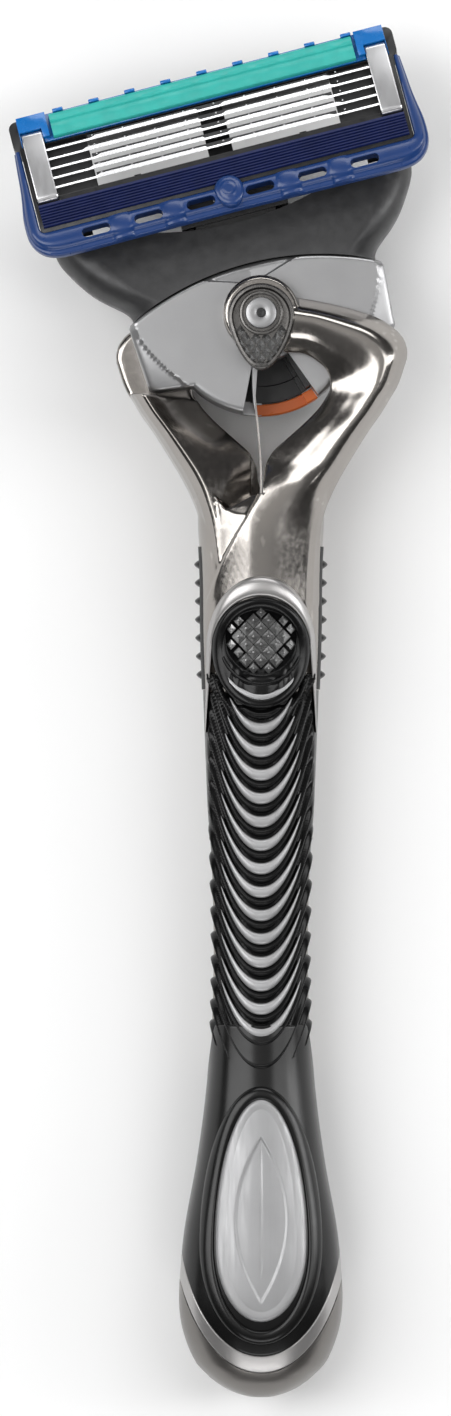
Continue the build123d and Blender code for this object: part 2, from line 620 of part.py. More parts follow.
with BuildPart(POD) as pod_hood:
    loft(hood_sections())
    loft(hood_sections(HOOD_WALL, 0.5), mode=Mode.SUBTRACT)
    with BuildSketch(POD):
        with Locations((0, SEAM_Y - SEAM_RADIUS)):
            Circle(SEAM_RADIUS + 0.05)
    extrude(amount=20, mode=Mode.SUBTRACT)
    with BuildSketch(POD):
        with Locations((0, HOOD_LIP_Y + HOOD_LIP_RADIUS)):
            Circle(HOOD_LIP_RADIUS)
    extrude(amount=20, mode=Mode.SUBTRACT)
    extrude(*box_between(BUTTON_SLOT_LOW, BUTTON_SLOT_HIGH, POD), mode=Mode.SUBTRACT)
pod_hood.part.label = "pod_hood"

with BuildPart(POD) as plunger:
    with BuildSketch(end_plane(POD, PLUNGER_TIP_Y)):
        with Locations((0, PLUNGER_Z)):
            Circle(PLUNGER_RADIUS)
    extrude(amount=PLUNGER_LENGTH)
    chamfer(plunger.edges().filter_by(GeomType.CIRCLE).sort_by(Axis(POD.origin, POD.y_dir))[-1], 0.25)
plunger.part.label = "plunger"


def coil(start_y, z, radius, wire, pitch, height):
    """A helical spring along the pod's y direction, from start_y on."""
    with BuildPart() as spring:
        with BuildLine():
            foot = POD.from_local_coords((0, start_y, z))
            turns = Helix(pitch, height, radius, center=foot, direction=POD.y_dir)
        with BuildSketch(Plane(origin=turns @ 0, z_dir=turns % 0)):
            Circle(wire)
        sweep(path=turns, is_frenet=True)
    return spring.part


plunger_spring = coil(PLUNGER_BORE_Y + 0.25, PLUNGER_Z, 0.95, 0.16, 0.9, 3.9)
plunger_spring.label = "plunger_spring"

with BuildPart(POD) as ejector_button:
    extrude(*box_between((-3.2, 4.6, 2.7), (3.2, 8.4, 3.85), POD))
    chamfer(ejector_button.faces().sort_by(Axis.Z)[0].edges(), 0.4)
    extrude(*box_between((-2.0, 5.8, 3.8), (2.0, 7.6, 6.1), POD))
    for side in (1, -1):
        extrude(*box_between((side * 1.6 - 0.4, 7.5, 5.4), (side * 1.6 + 0.4, 9.4, 6.1), POD))
ejector_button.part.label = "ejector_button"

ejector_spring = coil(2.6, CORE_LOW_Z, 0.42, 0.13, 0.6, 3.0)
ejector_spring.label = "ejector_spring"


# ---------------------------------------------------------------- the cartridge's carrier
with BuildPart(POD) as interconnect:
    extrude(*box_between((-SOCKET_X, SOCKET_START_Y, 5.6), (SOCKET_X, SOCKET_END_Y, 12.4), POD))
    extrude(*box_between((-SOCKET_X, SOCKET_END_Y, 8.4), (SOCKET_X, ARM_HIGH_Y, 13.4), POD))
    extrude(*box_between((-JOURNAL_START_X, ARM_LOW_Y, 11.5), (JOURNAL_START_X, ARM_HIGH_Y, 13.4), POD))
    nose_high = (NOSE_X + 0.1, NOSE_END_Y + 0.2, NOSE_HIGH_Z + 0.1)
    extrude(*box_between((-NOSE_X - 0.1, 9, NOSE_LOW_Z - 0.1), nose_high, POD), mode=Mode.SUBTRACT)
    extrude(*box_between((-CAM_ROOM_X, 12.4, 5), (CAM_ROOM_X, 16, 20), POD), mode=Mode.SUBTRACT)
    for side in (1, -1):
        with BuildSketch(side_plane(POD, side * (JOURNAL_START_X - 0.4))):
            with Locations((HINGE_Y, HINGE_Z)):
                Circle(JOURNAL_RADIUS)
        extrude(amount=side * (JOURNAL_END_X - JOURNAL_START_X + 0.4))
interconnect.part.label = "interconnect"

# ---------------------------------------------------------------- the cartridge
with BuildPart(CARTRIDGE) as housing:
    extrude(*box_between((-19.6, BAR_LOW_V, 1.5), (19.6, 7.7, DECK_W), CARTRIDGE))
    for side in (1, -1):
        cheek = box_between((side * 18.4 - 1.2, BAR_LOW_V, -0.8), (side * 18.4 + 1.2, 7.7, DECK_W), CARTRIDGE)
        extrude(*cheek)
        extrude(*box_between((side * 15.5 - 1, BAR_LOW_V, -1.6), (side * 15.5 + 1, 1.6, 2.0), CARTRIDGE))
    with BuildSketch(CARTRIDGE.offset(-0.8)):
        with Locations((0, 9.3)):
            RectangleRounded(40.4, 3.3, 0.8)
    extrude(amount=TRAY_W + 0.8)
    blade_window = box_between((-WINDOW_X, WINDOW_LOW_V, 0), (WINDOW_X, WINDOW_HIGH_V, 5), CARTRIDGE)
    extrude(*blade_window, mode=Mode.SUBTRACT)
    # The bridge behind the blades, and the web that carries the plunger's cam.
    for x, half_width in ((0.2, 1.25), (-8.6, 0.35), (8.8, 0.35)):
        low = (x - half_width, WINDOW_LOW_V - 0.2, 0.5)
        high = (x + half_width, WINDOW_HIGH_V + 0.2, BRIDGE_W)
        extrude(*box_between(low, high, CARTRIDGE))
    extrude(*box_between((-1.2, 1.0, CAM_W), (1.2, 2.3, 1.8), CARTRIDGE))
    with BuildSketch(side_plane(CARTRIDGE, -1.2)):
        with Locations((CAM_V, CAM_W)):
            Circle(CAM_RADIUS)
    extrude(amount=2.4)
    # The bores for the journals, and the slots for the clips' legs.
    with BuildSketch(side_plane(CARTRIDGE, -21)):
        Circle(JOURNAL_RADIUS + RUNNING_FIT)
    extrude(amount=42, mode=Mode.SUBTRACT)
    for side in (1, -1):
        for low, high in ((CLIP_LOW_V - 0.05, CLIP_LOW_V + 0.3), (CLIP_HIGH_V - 0.3, CLIP_HIGH_V + 0.05)):
            cut_low = (side * CLIP_X - CLIP_HALF - 0.05, low, -2)
            cut_high = (side * CLIP_X + CLIP_HALF + 0.05, high, 5)
            extrude(*box_between(cut_low, cut_high, CARTRIDGE), mode=Mode.SUBTRACT)
housing.part.label = "housing"

with BuildPart(CARTRIDGE) as guard_frame:
    with BuildSketch(CARTRIDGE.offset(1.0)):
        with BuildLine():
            Polyline(
                (0, -4.0), (16, -4.3), (18, -4.3), (19.6, -3.9), (20.7, -2.8), (21.1, -1.6), (21.1, 0.6),
                (20.7, 2.6), (20.4, 7.5), (19.65, 7.5), (19.65, BAR_LOW_V - 0.05), (0, BAR_LOW_V - 0.05),
            )
            mirror(about=Plane.YZ)
        make_face()
    extrude(amount=2.4)
    for side in (1, -1):
        for x in SLOT_CENTRES:
            with BuildSketch(CARTRIDGE):
                with Locations((side * x, (SLOT_LOW_V + SLOT_HIGH_V) / 2)):
                    RectangleRounded(3.0, SLOT_HIGH_V - SLOT_LOW_V, 0.35)
            extrude(amount=6, mode=Mode.SUBTRACT)
    extrude(*box_between((-TAB_RADIUS, -3.9, 2.0), (TAB_RADIUS, BAR_LOW_V - 0.05, TAB_TOP_W), CARTRIDGE))
    with BuildSketch(CARTRIDGE.offset(DECK_W)):
        with Locations((0, BAR_LOW_V)):
            Circle(TAB_RADIUS)
    extrude(amount=TAB_TOP_W - DECK_W)
guard_frame.part.label = "guard_frame"

with BuildPart(CARTRIDGE) as guard_fins:
    extrude(*box_between((-19.2, FINS_LOW_V, DECK_W), (19.2, FINS_HIGH_V, DECK_W + 0.2), CARTRIDGE))
    for index in range(FIN_COUNT):
        v = FINS_LOW_V + 0.1 + index * (FINS_HIGH_V - FINS_LOW_V - 0.2) / (FIN_COUNT - 1)
        extrude(*box_between((-19.0, v - 0.07, DECK_W), (19.0, v + 0.07, DECK_W + 0.55), CARTRIDGE))
    with Locations((0, BAR_LOW_V, DECK_W)):
        Cylinder(TAB_RADIUS + 0.05, 3, mode=Mode.SUBTRACT)
guard_fins.part.label = "guard_fins"

with BuildPart(CARTRIDGE) as strip_tray:
    extrude(*box_between((-19.3, 7.85, TRAY_W), (19.3, 10.75, 3.0), CARTRIDGE))
    for side in (1, -1):
        end_block = box_between((side * 17.75 - 1.5, 8.15, 3.0), (side * 17.75 + 1.5, 10.75, 3.85), CARTRIDGE)
        extrude(*end_block)
        notch_low = (side * CLIP_X - CLIP_HALF - 0.05, 7, 2)
        notch_high = (side * CLIP_X + CLIP_HALF + 0.05, CLIP_HIGH_V + 0.05, 5)
        extrude(*box_between(notch_low, notch_high, CARTRIDGE), mode=Mode.SUBTRACT)
strip_tray.part.label = "strip_tray"

with BuildPart(CARTRIDGE) as strip_tabs:
    for index in range(TAB_COUNT):
        x = TAB_PITCH * (index - (TAB_COUNT - 1) / 2) + 0.3
        extrude(*box_between((x - 0.55, 10.56, 3.0), (x + 0.55, 10.9, 3.7), CARTRIDGE))
strip_tabs.part.label = "strip_tabs"

with BuildPart(CARTRIDGE) as lubricating_strip:
    extrude(*box_between((-15.9, 7.94, 3.0), (15.9, 10.53, 3.9), CARTRIDGE))
    chamfer(lubricating_strip.edges().group_by(Axis(CARTRIDGE.origin, CARTRIDGE.z_dir))[-1], 0.3)
lubricating_strip.part.label = "lubricating_strip"

clips = {}
for side, name in ((1, "clip_right"), (-1, "clip_left")):
    x_low, x_high = side * CLIP_X - CLIP_HALF, side * CLIP_X + CLIP_HALF
    with BuildPart(CARTRIDGE) as clip:
        extrude(*box_between((x_low, CLIP_LOW_V, 3.5), (x_high, CLIP_HIGH_V, 3.75), CARTRIDGE))
        extrude(*box_between((x_low, CLIP_LOW_V, -1.05), (x_high, CLIP_LOW_V + 0.25, 3.75), CARTRIDGE))
        extrude(*box_between((x_low, CLIP_HIGH_V - 0.25, -1.05), (x_high, CLIP_HIGH_V, 3.75), CARTRIDGE))
        extrude(*box_between((x_low, CLIP_HIGH_V - 2, -1.05), (x_high, CLIP_HIGH_V, -0.82), CARTRIDGE))
    clip.part.label = name
    clips[name] = clip.part

blade_parts = {}
for index in range(BLADE_COUNT):
    v = FIRST_BLADE_V + BLADE_PITCH * index
    edge_side = [(v - 0.3, FACE_W), (v + 0.42, FACE_W - 0.3)]
    under_side = [(v + 0.42, FACE_W - 0.4), (v - 0.28, FACE_W - 0.12)]
    blade_profile = edge_side + under_side
    support_profile = [
        (v - 0.1, FACE_W - 0.2), (v + 0.42, FACE_W - 0.42), (v + 0.42, 1.9), (v + 0.26, 1.9),
        (v + 0.26, FACE_W - 0.5), (v - 0.1, FACE_W - 0.34),
    ]
    profiles = {f"blade_{index + 1}": blade_profile, f"blade_support_{index + 1}": support_profile}
    for name, profile in profiles.items():
        with BuildPart(CARTRIDGE) as strip_part:
            extrude(polygon(side_plane(CARTRIDGE, -BLADE_HALF), profile), amount=2 * BLADE_HALF)
        strip_part.part.label = name
        blade_parts[name] = strip_part.part

with BuildPart(CARTRIDGE) as trimmer_guard:
    extrude(*box_between((-15.5, 8.9, -1.5), (15.5, 9.7, -0.8), CARTRIDGE))
    for index in range(TOOTH_COUNT):
        x = 30 * (index / (TOOTH_COUNT - 1) - 0.5)
        extrude(*box_between((x - 0.35, 9.6, -1.5), (x + 0.35, 10.85, -1.15), CARTRIDGE))
trimmer_guard.part.label = "trimmer_guard"

with BuildPart(CARTRIDGE) as trimmer_blade:
    extrude(*box_between((-15.2, 9.75, -0.95), (15.2, 10.9, -0.82), CARTRIDGE))
trimmer_blade.part.label = "trimmer_blade"

# ---------------------------------------------------------------- files
pieces = [
    handle_frame.part, front_pivot_cap.part, front_pivot_pin.part, rear_pivot_cap.part, rear_pivot_pin.part,
    tail_spring.part, thumb_collar.part, thumb_pad.part, *side_grips.values(), grip_rubber.part,
    grip_insert.part, back_grip.part, base_sleeve.part, badge_bezel.part, badge_plate.part, end_trim.part,
    end_cap.part, pod_shell_front.part, pod_shell_rear.part, pod_core.part, pod_fin.part, pod_bumper.part,
    *bushes.values(), pod_hood.part, plunger.part, plunger_spring, ejector_button.part, ejector_spring,
    interconnect.part, housing.part, guard_frame.part, guard_fins.part, strip_tray.part, strip_tabs.part,
    lubricating_strip.part, *clips.values(), *blade_parts.values(), trimmer_guard.part, trimmer_blade.part,
]
os.makedirs("parts", exist_ok=True)
for piece in pieces:
    export_step(piece, f"parts/{piece.label}.step")
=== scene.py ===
"""The looks of the cartridge razor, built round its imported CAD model.

Shapes are worked out in millimetres and made in metres. +Y runs along the handle towards the head,
+Z out of the razor's front, and the swivel axis is the line x = y = 0.
"""

import json
from math import atan2, cos, hypot, pi, radians, sin, sqrt

import bmesh
import bpy
import numpy as np
from mathutils import Matrix, Vector


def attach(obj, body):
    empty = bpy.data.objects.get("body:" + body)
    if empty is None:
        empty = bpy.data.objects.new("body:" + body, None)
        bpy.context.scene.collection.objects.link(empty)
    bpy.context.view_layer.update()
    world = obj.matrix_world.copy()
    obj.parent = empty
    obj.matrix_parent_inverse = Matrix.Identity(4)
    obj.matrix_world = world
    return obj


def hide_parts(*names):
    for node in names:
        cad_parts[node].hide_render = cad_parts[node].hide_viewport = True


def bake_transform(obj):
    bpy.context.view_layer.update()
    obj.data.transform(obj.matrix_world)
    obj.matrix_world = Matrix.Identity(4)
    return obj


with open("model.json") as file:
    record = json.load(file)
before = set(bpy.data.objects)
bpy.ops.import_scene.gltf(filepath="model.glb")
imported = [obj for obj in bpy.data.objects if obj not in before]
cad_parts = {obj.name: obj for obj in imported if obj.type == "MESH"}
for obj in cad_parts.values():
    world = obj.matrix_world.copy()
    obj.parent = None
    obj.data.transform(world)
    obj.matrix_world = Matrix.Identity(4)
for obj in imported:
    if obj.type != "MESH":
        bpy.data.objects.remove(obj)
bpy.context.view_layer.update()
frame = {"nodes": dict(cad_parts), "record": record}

MM = 0.001
MID_Z = 9.0  # the yoke is the same front and back of this height
SWIVEL_REST = radians(14.5)  # the pod's turn at rest
TILT_REST = radians(15.0)
HINGE_Y, HINGE_Z = 14.2, 12.5

POD_TO_ROW = Matrix.Rotation(SWIVEL_REST, 4, "Z")
HINGE_TO_ROW = POD_TO_ROW @ Matrix.Translation((0, HINGE_Y, HINGE_Z))
CARTRIDGE_TO_ROW = HINGE_TO_ROW @ Matrix.Rotation(-TILT_REST, 4, "X")
BODY_TO_ROW = {"handle": Matrix.Identity(4), "pod": POD_TO_ROW}  # for every other body, CARTRIDGE_TO_ROW

CAMERA_DISTANCE = 0.9
CAMERA_X, CAMERA_Y, CAMERA_FOCUS_Z = -3.62, -40.1, 13
SEEN_HEIGHT = 144.432  # of the plane at CAMERA_FOCUS_Z
LIGHT_AIM = (0.0, -0.04, 0.0)


# ---------- materials
FINISH = {}  # materials by name; a slot's name in the record is the name of its material
NOISE_SPAN = (0.3, 0.7)  # where nearly all of a noise texture's values lie


def new_material(name):
    material = bpy.data.materials.new(name)
    material.use_nodes = True
    tree = material.node_tree
    return material, tree, tree.nodes["Principled BSDF"]


def set_inputs(node, **values):
    """Sets a node's sockets by name, with underscores for spaces."""
    for socket, value in values.items():
        node.inputs[socket.replace("_", " ")].default_value = value


def textured(
    name, colour, rough, metallic=0.0, grain=0.08, grain_height=0.002, stretch=(1, 1, 1),
    tint=0.12, tint_size=6.0, rough_spread=0.08, edge=0.0, coat=0.0, specular=0.5,
):
    """Adds a procedural finish to FINISH. grain, grain_height and tint_size are in millimetres.

    stretch draws the grain out, and edge is how far sharp edges are worn to a lighter colour.
    """
    material, tree, shader = new_material(name)
    nodes, links = tree.nodes, tree.links
    place = nodes.new("ShaderNodeTexCoord")
    mapping = nodes.new("ShaderNodeMapping")
    set_inputs(mapping, Scale=stretch)
    links.new(place.outputs["Object"], mapping.inputs["Vector"])

    def noise(size, detail, source):
        node = nodes.new("ShaderNodeTexNoise")
        set_inputs(node, Scale=1 / (size * MM), Detail=detail)
        links.new(source, node.inputs["Vector"])
        return node

    def remap(source, **limits):
        node = nodes.new("ShaderNodeMapRange")
        set_inputs(node, **limits)
        links.new(source, node.inputs["Value"])
        return node.outputs["Result"]

    fine = noise(grain, 3.0, mapping.outputs["Vector"])
    broad = noise(tint_size, 4.0, place.outputs["Object"])
    smear = noise(grain * 9, 5.0, mapping.outputs["Vector"])

    ramp = nodes.new("ShaderNodeValToRGB")
    low = [c * (1 - tint) for c in colour]
    high = [min(1.0, c * (1 + tint) + 0.01 * tint) for c in colour]
    for element, position, shade in zip(ramp.color_ramp.elements, NOISE_SPAN, (low, high)):
        element.position = position
        element.color = (*shade, 1)
    links.new(broad.outputs["Fac"], ramp.inputs["Fac"])
    colour_out = ramp.outputs["Color"]
    if edge:
        geometry = nodes.new("ShaderNodeNewGeometry")
        worn = remap(geometry.outputs["Pointiness"], From_Min=0.52, From_Max=0.62, To_Max=edge)
        mix = nodes.new("ShaderNodeMix")
        mix.data_type = "RGBA"
        set_inputs(mix, B=(*[min(1.0, c * 1.6 + 0.06) for c in colour], 1))
        links.new(worn, mix.inputs["Factor"])
        links.new(colour_out, mix.inputs["A"])
        colour_out = mix.outputs["Result"]
    links.new(colour_out, shader.inputs["Base Color"])

    spread = remap(
        smear.outputs["Fac"],
        From_Min=NOISE_SPAN[0],
        From_Max=NOISE_SPAN[1],
        To_Min=max(0.02, rough - rough_spread),
        To_Max=min(1.0, rough + rough_spread),
    )
    links.new(spread, shader.inputs["Roughness"])

    bump = nodes.new("ShaderNodeBump")
    set_inputs(bump, Distance=grain_height * MM, Strength=1.0)
    links.new(fine.outputs["Fac"], bump.inputs["Height"])
    links.new(bump.outputs["Normal"], shader.inputs["Normal"])
    set_inputs(shader, Metallic=metallic, Specular_IOR_Level=specular, Coat_Weight=coat, Coat_Roughness=0.08)
    FINISH[name] = material


textured(
    "gunmetal_chrome", (0.34, 0.32, 0.3), 0.17, 1.0, 0.05, 0.0004, tint=0.06, rough_spread=0.04, edge=0.35
)
textured("dark_chrome", (0.13, 0.125, 0.12), 0.3, 0.9, 0.05, 0.0006, tint=0.1, edge=0.5)
textured("steel", (0.42, 0.42, 0.42), 0.3, 1.0, 0.04, 0.0004, tint=0.05, edge=0.3)
textured("spring_steel", (0.5, 0.48, 0.46), 0.26, 1.0, 0.04, 0.0005, stretch=(1, 0.1, 1))
textured("satin_silver", (0.4, 0.4, 0.405), 0.4, 0.5, 0.05, 0.0008, tint=0.08)
textured("badge_silver", (0.35, 0.35, 0.355), 0.45, 0.6, 0.04, 0.0005, stretch=(1, 0.06, 1), tint=0.05)
textured("light_trim", (0.42, 0.41, 0.405), 0.33, 0.8, 0.05, 0.0002, tint=0.03, rough_spread=0.02)
textured(
    "black_rubber", (0.002, 0.002, 0.0022), 0.24, 0.0, 0.09, 0.0008,
    tint=0.3, tint_size=3, rough_spread=0.05, specular=0.25,
)
textured(
    "black_gloss", (0.003, 0.003, 0.003), 0.25, 0.0, 0.12, 0.0002,
    tint=0.2, rough_spread=0.02, specular=0.36,
)
textured("black_plastic", (0.008, 0.008, 0.009), 0.38, 0.0, 0.08, 0.0025, tint=0.25)
textured("gunmetal_cap", (0.2, 0.19, 0.18), 0.3, 0.9, 0.06, 0.0002, tint=0.03, rough_spread=0.02)
textured("pod_silver", (0.35, 0.35, 0.355), 0.33, 0.85, 0.05, 0.0003, tint=0.04, rough_spread=0.03)
textured("hood_grey", (0.03, 0.03, 0.031), 0.4, 0.2, 0.12, 0.004, tint=0.16, tint_size=1.2, edge=0.2)
textured("orange", (0.78, 0.16, 0.02), 0.35, 0.0, 0.08, 0.001, tint=0.08)
textured("bush_white", (0.62, 0.61, 0.57), 0.45, 0.0, 0.08, 0.003)
textured(
    "guard_blue", (0.006, 0.036, 0.155), 0.3, 0.0, 0.09, 0.0006,
    tint=0.06, tint_size=2.5, rough_spread=0.03, coat=0.15,
)
textured("fin_blue", (0.005, 0.013, 0.085), 0.42, 0.0, 0.07, 0.001, tint=0.12, tint_size=1.5)
textured(
    "cap_blue", (0.003, 0.15, 0.48), 0.26, 0.0, 0.08, 0.0008,
    tint=0.06, tint_size=2, rough_spread=0.03, coat=0.3,
)
textured(
    "strip_teal", (0.03, 0.42, 0.37), 0.38, 0.0, 0.16, 0.003, stretch=(0.25, 1, 1), tint=0.08, tint_size=1.5
)
textured(
    "clip_metal", (0.62, 0.62, 0.63), 0.3, 1.0, 0.05, 0.0002,
    stretch=(1, 0.08, 1), tint=0.03, rough_spread=0.02,
)
textured(
    "blade_steel", (0.62, 0.62, 0.63), 0.26, 1.0, 0.03, 0.0003,
    stretch=(1, 0.1, 1), tint=0.04, rough_spread=0.03,
)
# The blades' steel painted nearly black: painted shade for the supports between the blades.
textured("blade_steel_painted_shade", (0.05, 0.05, 0.052), 0.35, 0.6, 0.03, 0.0003, tint=0.1)
textured("stud_grey", (0.3, 0.3, 0.3), 0.27, 0.9, 0.05, 0.0004, tint=0.1)


# ---------- mesh tools
def link(name, data):
    obj = bpy.data.objects.new(name, data)
    bpy.context.scene.collection.objects.link(obj)
    return obj


def link_mesh(name, mesh, material):
    """An object with one material and no other."""
    mesh.materials.clear()
    mesh.materials.append(material)
    return link(name, mesh)


def make_object(name, verts, faces, finish, body="handle", look=None, smooth=True, sharp=None):
    """A mesh object from vertices in millimetres, in the frame of its body.

    Edges where faces meet at more than sharp degrees stay sharp.
    """
    mesh = bpy.data.meshes.new(name)
    mesh.from_pydata([tuple(v) for v in verts], [], [tuple(f) for f in faces])
    mesh.transform(Matrix.Scale(MM, 4) @ BODY_TO_ROW.get(body, CARTRIDGE_TO_ROW))
    mesh.update()
    mesh.polygons.foreach_set("use_smooth", [smooth] * len(mesh.polygons))
    obj = link_mesh(name, mesh, FINISH[look or finish])
    if sharp:
        smooth_by_angle(obj, sharp)
    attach(obj, body)
    return obj


def modify(obj, kind, **settings):
    modifier = obj.modifiers.new(kind.lower(), kind)
    for key, value in settings.items():
        setattr(modifier, key, value)


def apply_modifiers(obj):
    """Replaces the object's mesh with its evaluated one."""
    graph = bpy.context.evaluated_depsgraph_get()
    mesh = bpy.data.meshes.new_from_object(obj.evaluated_get(graph))
    old = obj.data
    obj.modifiers.clear()
    obj.data = mesh
    bpy.data.meshes.remove(old)


def cut_away(obj, cutters):
    """Takes the cutters out of obj for good, and removes them."""
    for cutter in cutters:
        modify(obj, "BOOLEAN", operation="DIFFERENCE", solver="EXACT", object=cutter)
    apply_modifiers(obj)
    for cutter in cutters:
        bpy.data.objects.remove(cutter)


def smooth_by_angle(obj, angle):
    """Smooth shading, with sharp edges where faces meet at more than angle degrees."""
    mesh = bmesh.new()
    mesh.from_mesh(obj.data)
    for edge in mesh.edges:
        edge.smooth = edge.calc_face_angle(0) < radians(angle)
    for face in mesh.faces:
        face.smooth = True
    mesh.to_mesh(obj.data)
    mesh.free()


def ring_faces(count, size, start=0):
    """Quads between count rings of size points each, open at both ends."""
    faces = []
    for ring in range(count - 1):
        for k in range(size):
            a = start + ring * size + k
            b = start + ring * size + (k + 1) % size
            faces.append((a, b, b + size, a + size))
    return faces


def tube_faces(count, size, start=0):
    """ring_faces, closed by an n-gon at each end."""
    last = start + (count - 1) * size
    ends = [tuple(reversed(range(start, start + size))), tuple(range(last, last + size))]
    return ring_faces(count, size, start) + ends


def grid_faces(rows, width, start=0):
    """Quads between rows of width points each, left open on all sides."""
    faces = []
    for row in range(rows - 1):
        for k in range(width - 1):
            a = start + row * width + k
            faces.append((a, a + width, a + width + 1, a + 1))
    return faces


def fan(first, size):
    """Triangles from a ring of size points to the one point after them."""
    return [(first + k, first + (k + 1) % size, first + size) for k in range(size)]


def turn(count):
    """Angles evenly spread once round."""
    return [2 * pi * k / count for k in range(count)]


def catmull(points, steps):
    """A smooth line through points, each given as a tuple of any length."""
    points = [np.array(p, float) for p in points]
    padded = [2 * points[0] - points[1], *points, 2 * points[-1] - points[-2]]
    line = []
    for a, b, c, d in zip(padded, padded[1:], padded[2:], padded[3:]):
        for k in range(steps):
            t = k / steps
            square = (2 * a - 5 * b + 4 * c - d) * t**2
            cube = (3 * b - a - 3 * c + d) * t**3
            line.append(0.5 * (2 * b + (c - a) * t + square + cube))
    line.append(points[-1])
    return line


# ---------- the handle's outer form
# Along the handle: y, half width, height of the back, height of the front.
STATIONS = (
    (-19.5, 6.6, 2.6, 15.6), (-26, 6.2, 2.9, 15.2), (-33.5, 6.1, 3.0, 14.8), (-47, 5.6, 2.6, 13.8),
    (-56, 5.25, 2.2, 13.2), (-65, 5.05, 1.7, 12.7), (-75, 5.3, 1.0, 12.6), (-81, 5.8, 0.5, 12.9),
    (-87, 6.65, 0.05, 13.4), (-93, 7.75, 0.0, 13.8), (-97, 8.2, 0.0, 13.9), (-101, 8.4, 0.0, 13.7),
    (-104, 8.0, 0.0, 13.2), (-107, 6.85, 0.4, 12.2), (-108.6, 5.45, 1.2, 11.3), (-109.6, 4.2, 2.1, 10.3),
    (-110.3, 2.9, 3.1, 9.2), (-110.75, 1.5, 4.3, 8.0), (-110.89, 0.2, 5.7, 6.6),
)
FORM = np.array(catmull(STATIONS, 24))[::-1]


def form_at(y):
    """Half width, back height and front height of the handle at y."""
    return [float(np.interp(y, FORM[:, 0], FORM[:, k])) for k in (1, 2, 3)]


ROUNDNESS = 2.35  # exponent of the handle's cross-section; 2 would be an ellipse
FORM_AROUND = 72  # points round a ring of the form


def form_point(y, angle, sink=0.0):
    """A point of the handle's skin: angle 0 is to the right and 90 degrees is the front."""
    half, back, front = form_at(y)
    half, height = half - sink, (front - back) / 2 - sink
    c, s = cos(angle), sin(angle)
    x = half * abs(c) ** (2 / ROUNDNESS) * (1 if c > 0 else -1)
    z = height * abs(s) ** (2 / ROUNDNESS) * (1 if s > 0 else -1)
    return [x, y, (front + back) / 2 + z]


def front_z(x, y):
    """Height of the handle's front at a place."""
    half, back, front = form_at(y)
    share = min(1.0, abs(x) / half)
    return (front + back) / 2 + (front - back) / 2 * (1 - share**ROUNDNESS) ** (1 / ROUNDNESS)


# ---------- the yoke
# Along the front arm, from the hub to the neck: outer edge x, y; inner edge x, y; the crease's share
# of the way across; height of the front; share of the neck's own form; rise above that form.
ARM = (
    (0.0, 3.2, 0.0, -3.4, 0.32, 17.3, 0, 0), (3.0, 1.9, 2.7, -3.9, 0.34, 17.3, 0, 0),
    (6.0, 1.3, 4.5, -4.1, 0.35, 17.3, 0, 0), (9.0, 0.6, 6.2, -5.2, 0.36, 17.3, 0, 0),
    (12.0, -0.4, 6.8, -6.0, 0.38, 17.3, 0, 0), (14.2, -2.0, 7.0, -6.6, 0.39, 17.25, 0, 0),
    (14.95, -3.8, 7.05, -7.2, 0.41, 17.2, 0, 0), (14.5, -5.8, 6.95, -7.8, 0.43, 17.15, 0, 0),
    (13.9, -7.4, 6.7, -8.3, 0.44, 17.1, 0, 0), (13.2, -8.5, 6.3, -9.0, 0.44, 17.05, 0, 0),
    (12.3, -10.0, 5.6, -9.9, 0.44, 16.95, 0, 0), (10.9, -12.0, 4.3, -11.2, 0.44, 16.8, 0, 0),
    (9.4, -14.4, 2.6, -12.7, 0.44, 16.5, 0, 0), (8.1, -16.6, 1.2, -14.0, 0.42, 16.2, 0, 0),
    (7.2, -18.4, 0.45, -15.4, 0.28, 15.9, 0.1, 0.3), (6.5, -20.2, 0.1, -17.4, 0.06, 15.8, 0.4, 0.35),
    (6.15, -22.0, -1.2, -20.2, 0.04, 15.7, 0.8, 0.35), (6.05, -24.0, -2.6, -22.6, 0.04, 15.6, 1, 0.32),
    (6.0, -26.5, -4.4, -26.2, 0.04, 15.5, 1, 0.16), (6.0, -29.5, -5.6, -29.3, 0.04, 15.4, 1, 0.0),
)
NOTCH_Y = -7.95
# Undersides, as (share of the way out, height): of the arm before the notch and of its root after it.
UNDER_ARM = (
    (1.0, 14.75), (0.985, 14.5), *((share, 14.3) for share in (0.95, 0.75, 0.5, 0.25, 0.05)), (0.0, 14.6),
)
UNDER_ROOT = (
    (1.0, 10.0), (0.98, 7.0), (0.92, 5.2), (0.82, 3.9), (0.76, 3.7), (0.5, 4.9), (0.2, 6.3), (0.0, 7.2),
)
RUBBER_TOP_Y = -38.6
VOXEL = 0.15  # the size at which the yoke's parts are melted into one
KEPT_FACES = 0.42  # the share kept, which brings the yoke below the exporter's limit


def arm_ring(outer_x, outer_y, inner_x, inner_y, crease, top, follow, rise):
    """The arm's cross-section: a facet up to a crease, a crowned outer face, and a hollowed underside."""
    crease = max(0.03, crease)
    facet = 1.7 * min(1.0, crease / 0.3)
    ring = []

    def place(share, z):
        x = inner_x + (outer_x - inner_x) * share
        y = inner_y + (outer_y - inner_y) * share
        if follow and z > MID_Z:
            z = z * (1 - follow) + (front_z(0.985 * x, y) + rise) * follow
        ring.append((x, y, z))

    for k in range(4):
        place(crease * k / 4, top - 0.2 - facet * (1 - k / 4) ** 1.3)
    for k in range(16):
        t = k / 15
        crown = 0.35 * sin(pi * min(1.0, t / 0.8))
        fall = 2.5 * max(0.0, (t - 0.45) / 0.55) ** 2.2
        place(crease + (1 - crease) * t, top + (-0.2 * (1 - t) ** 2 + crown - fall))
    for share, z in UNDER_ARM if outer_y > NOTCH_Y else UNDER_ROOT:
        place(share, z)
    return ring


def half_turn(point):
    """The same place after half a turn about the handle's middle line."""
    x, y, z = point
    return (-x, y, 2 * MID_Z - z)


def disc_ring(radius, z, count=48):
    return [(radius * cos(angle), radius * sin(angle), z) for angle in turn(count)]


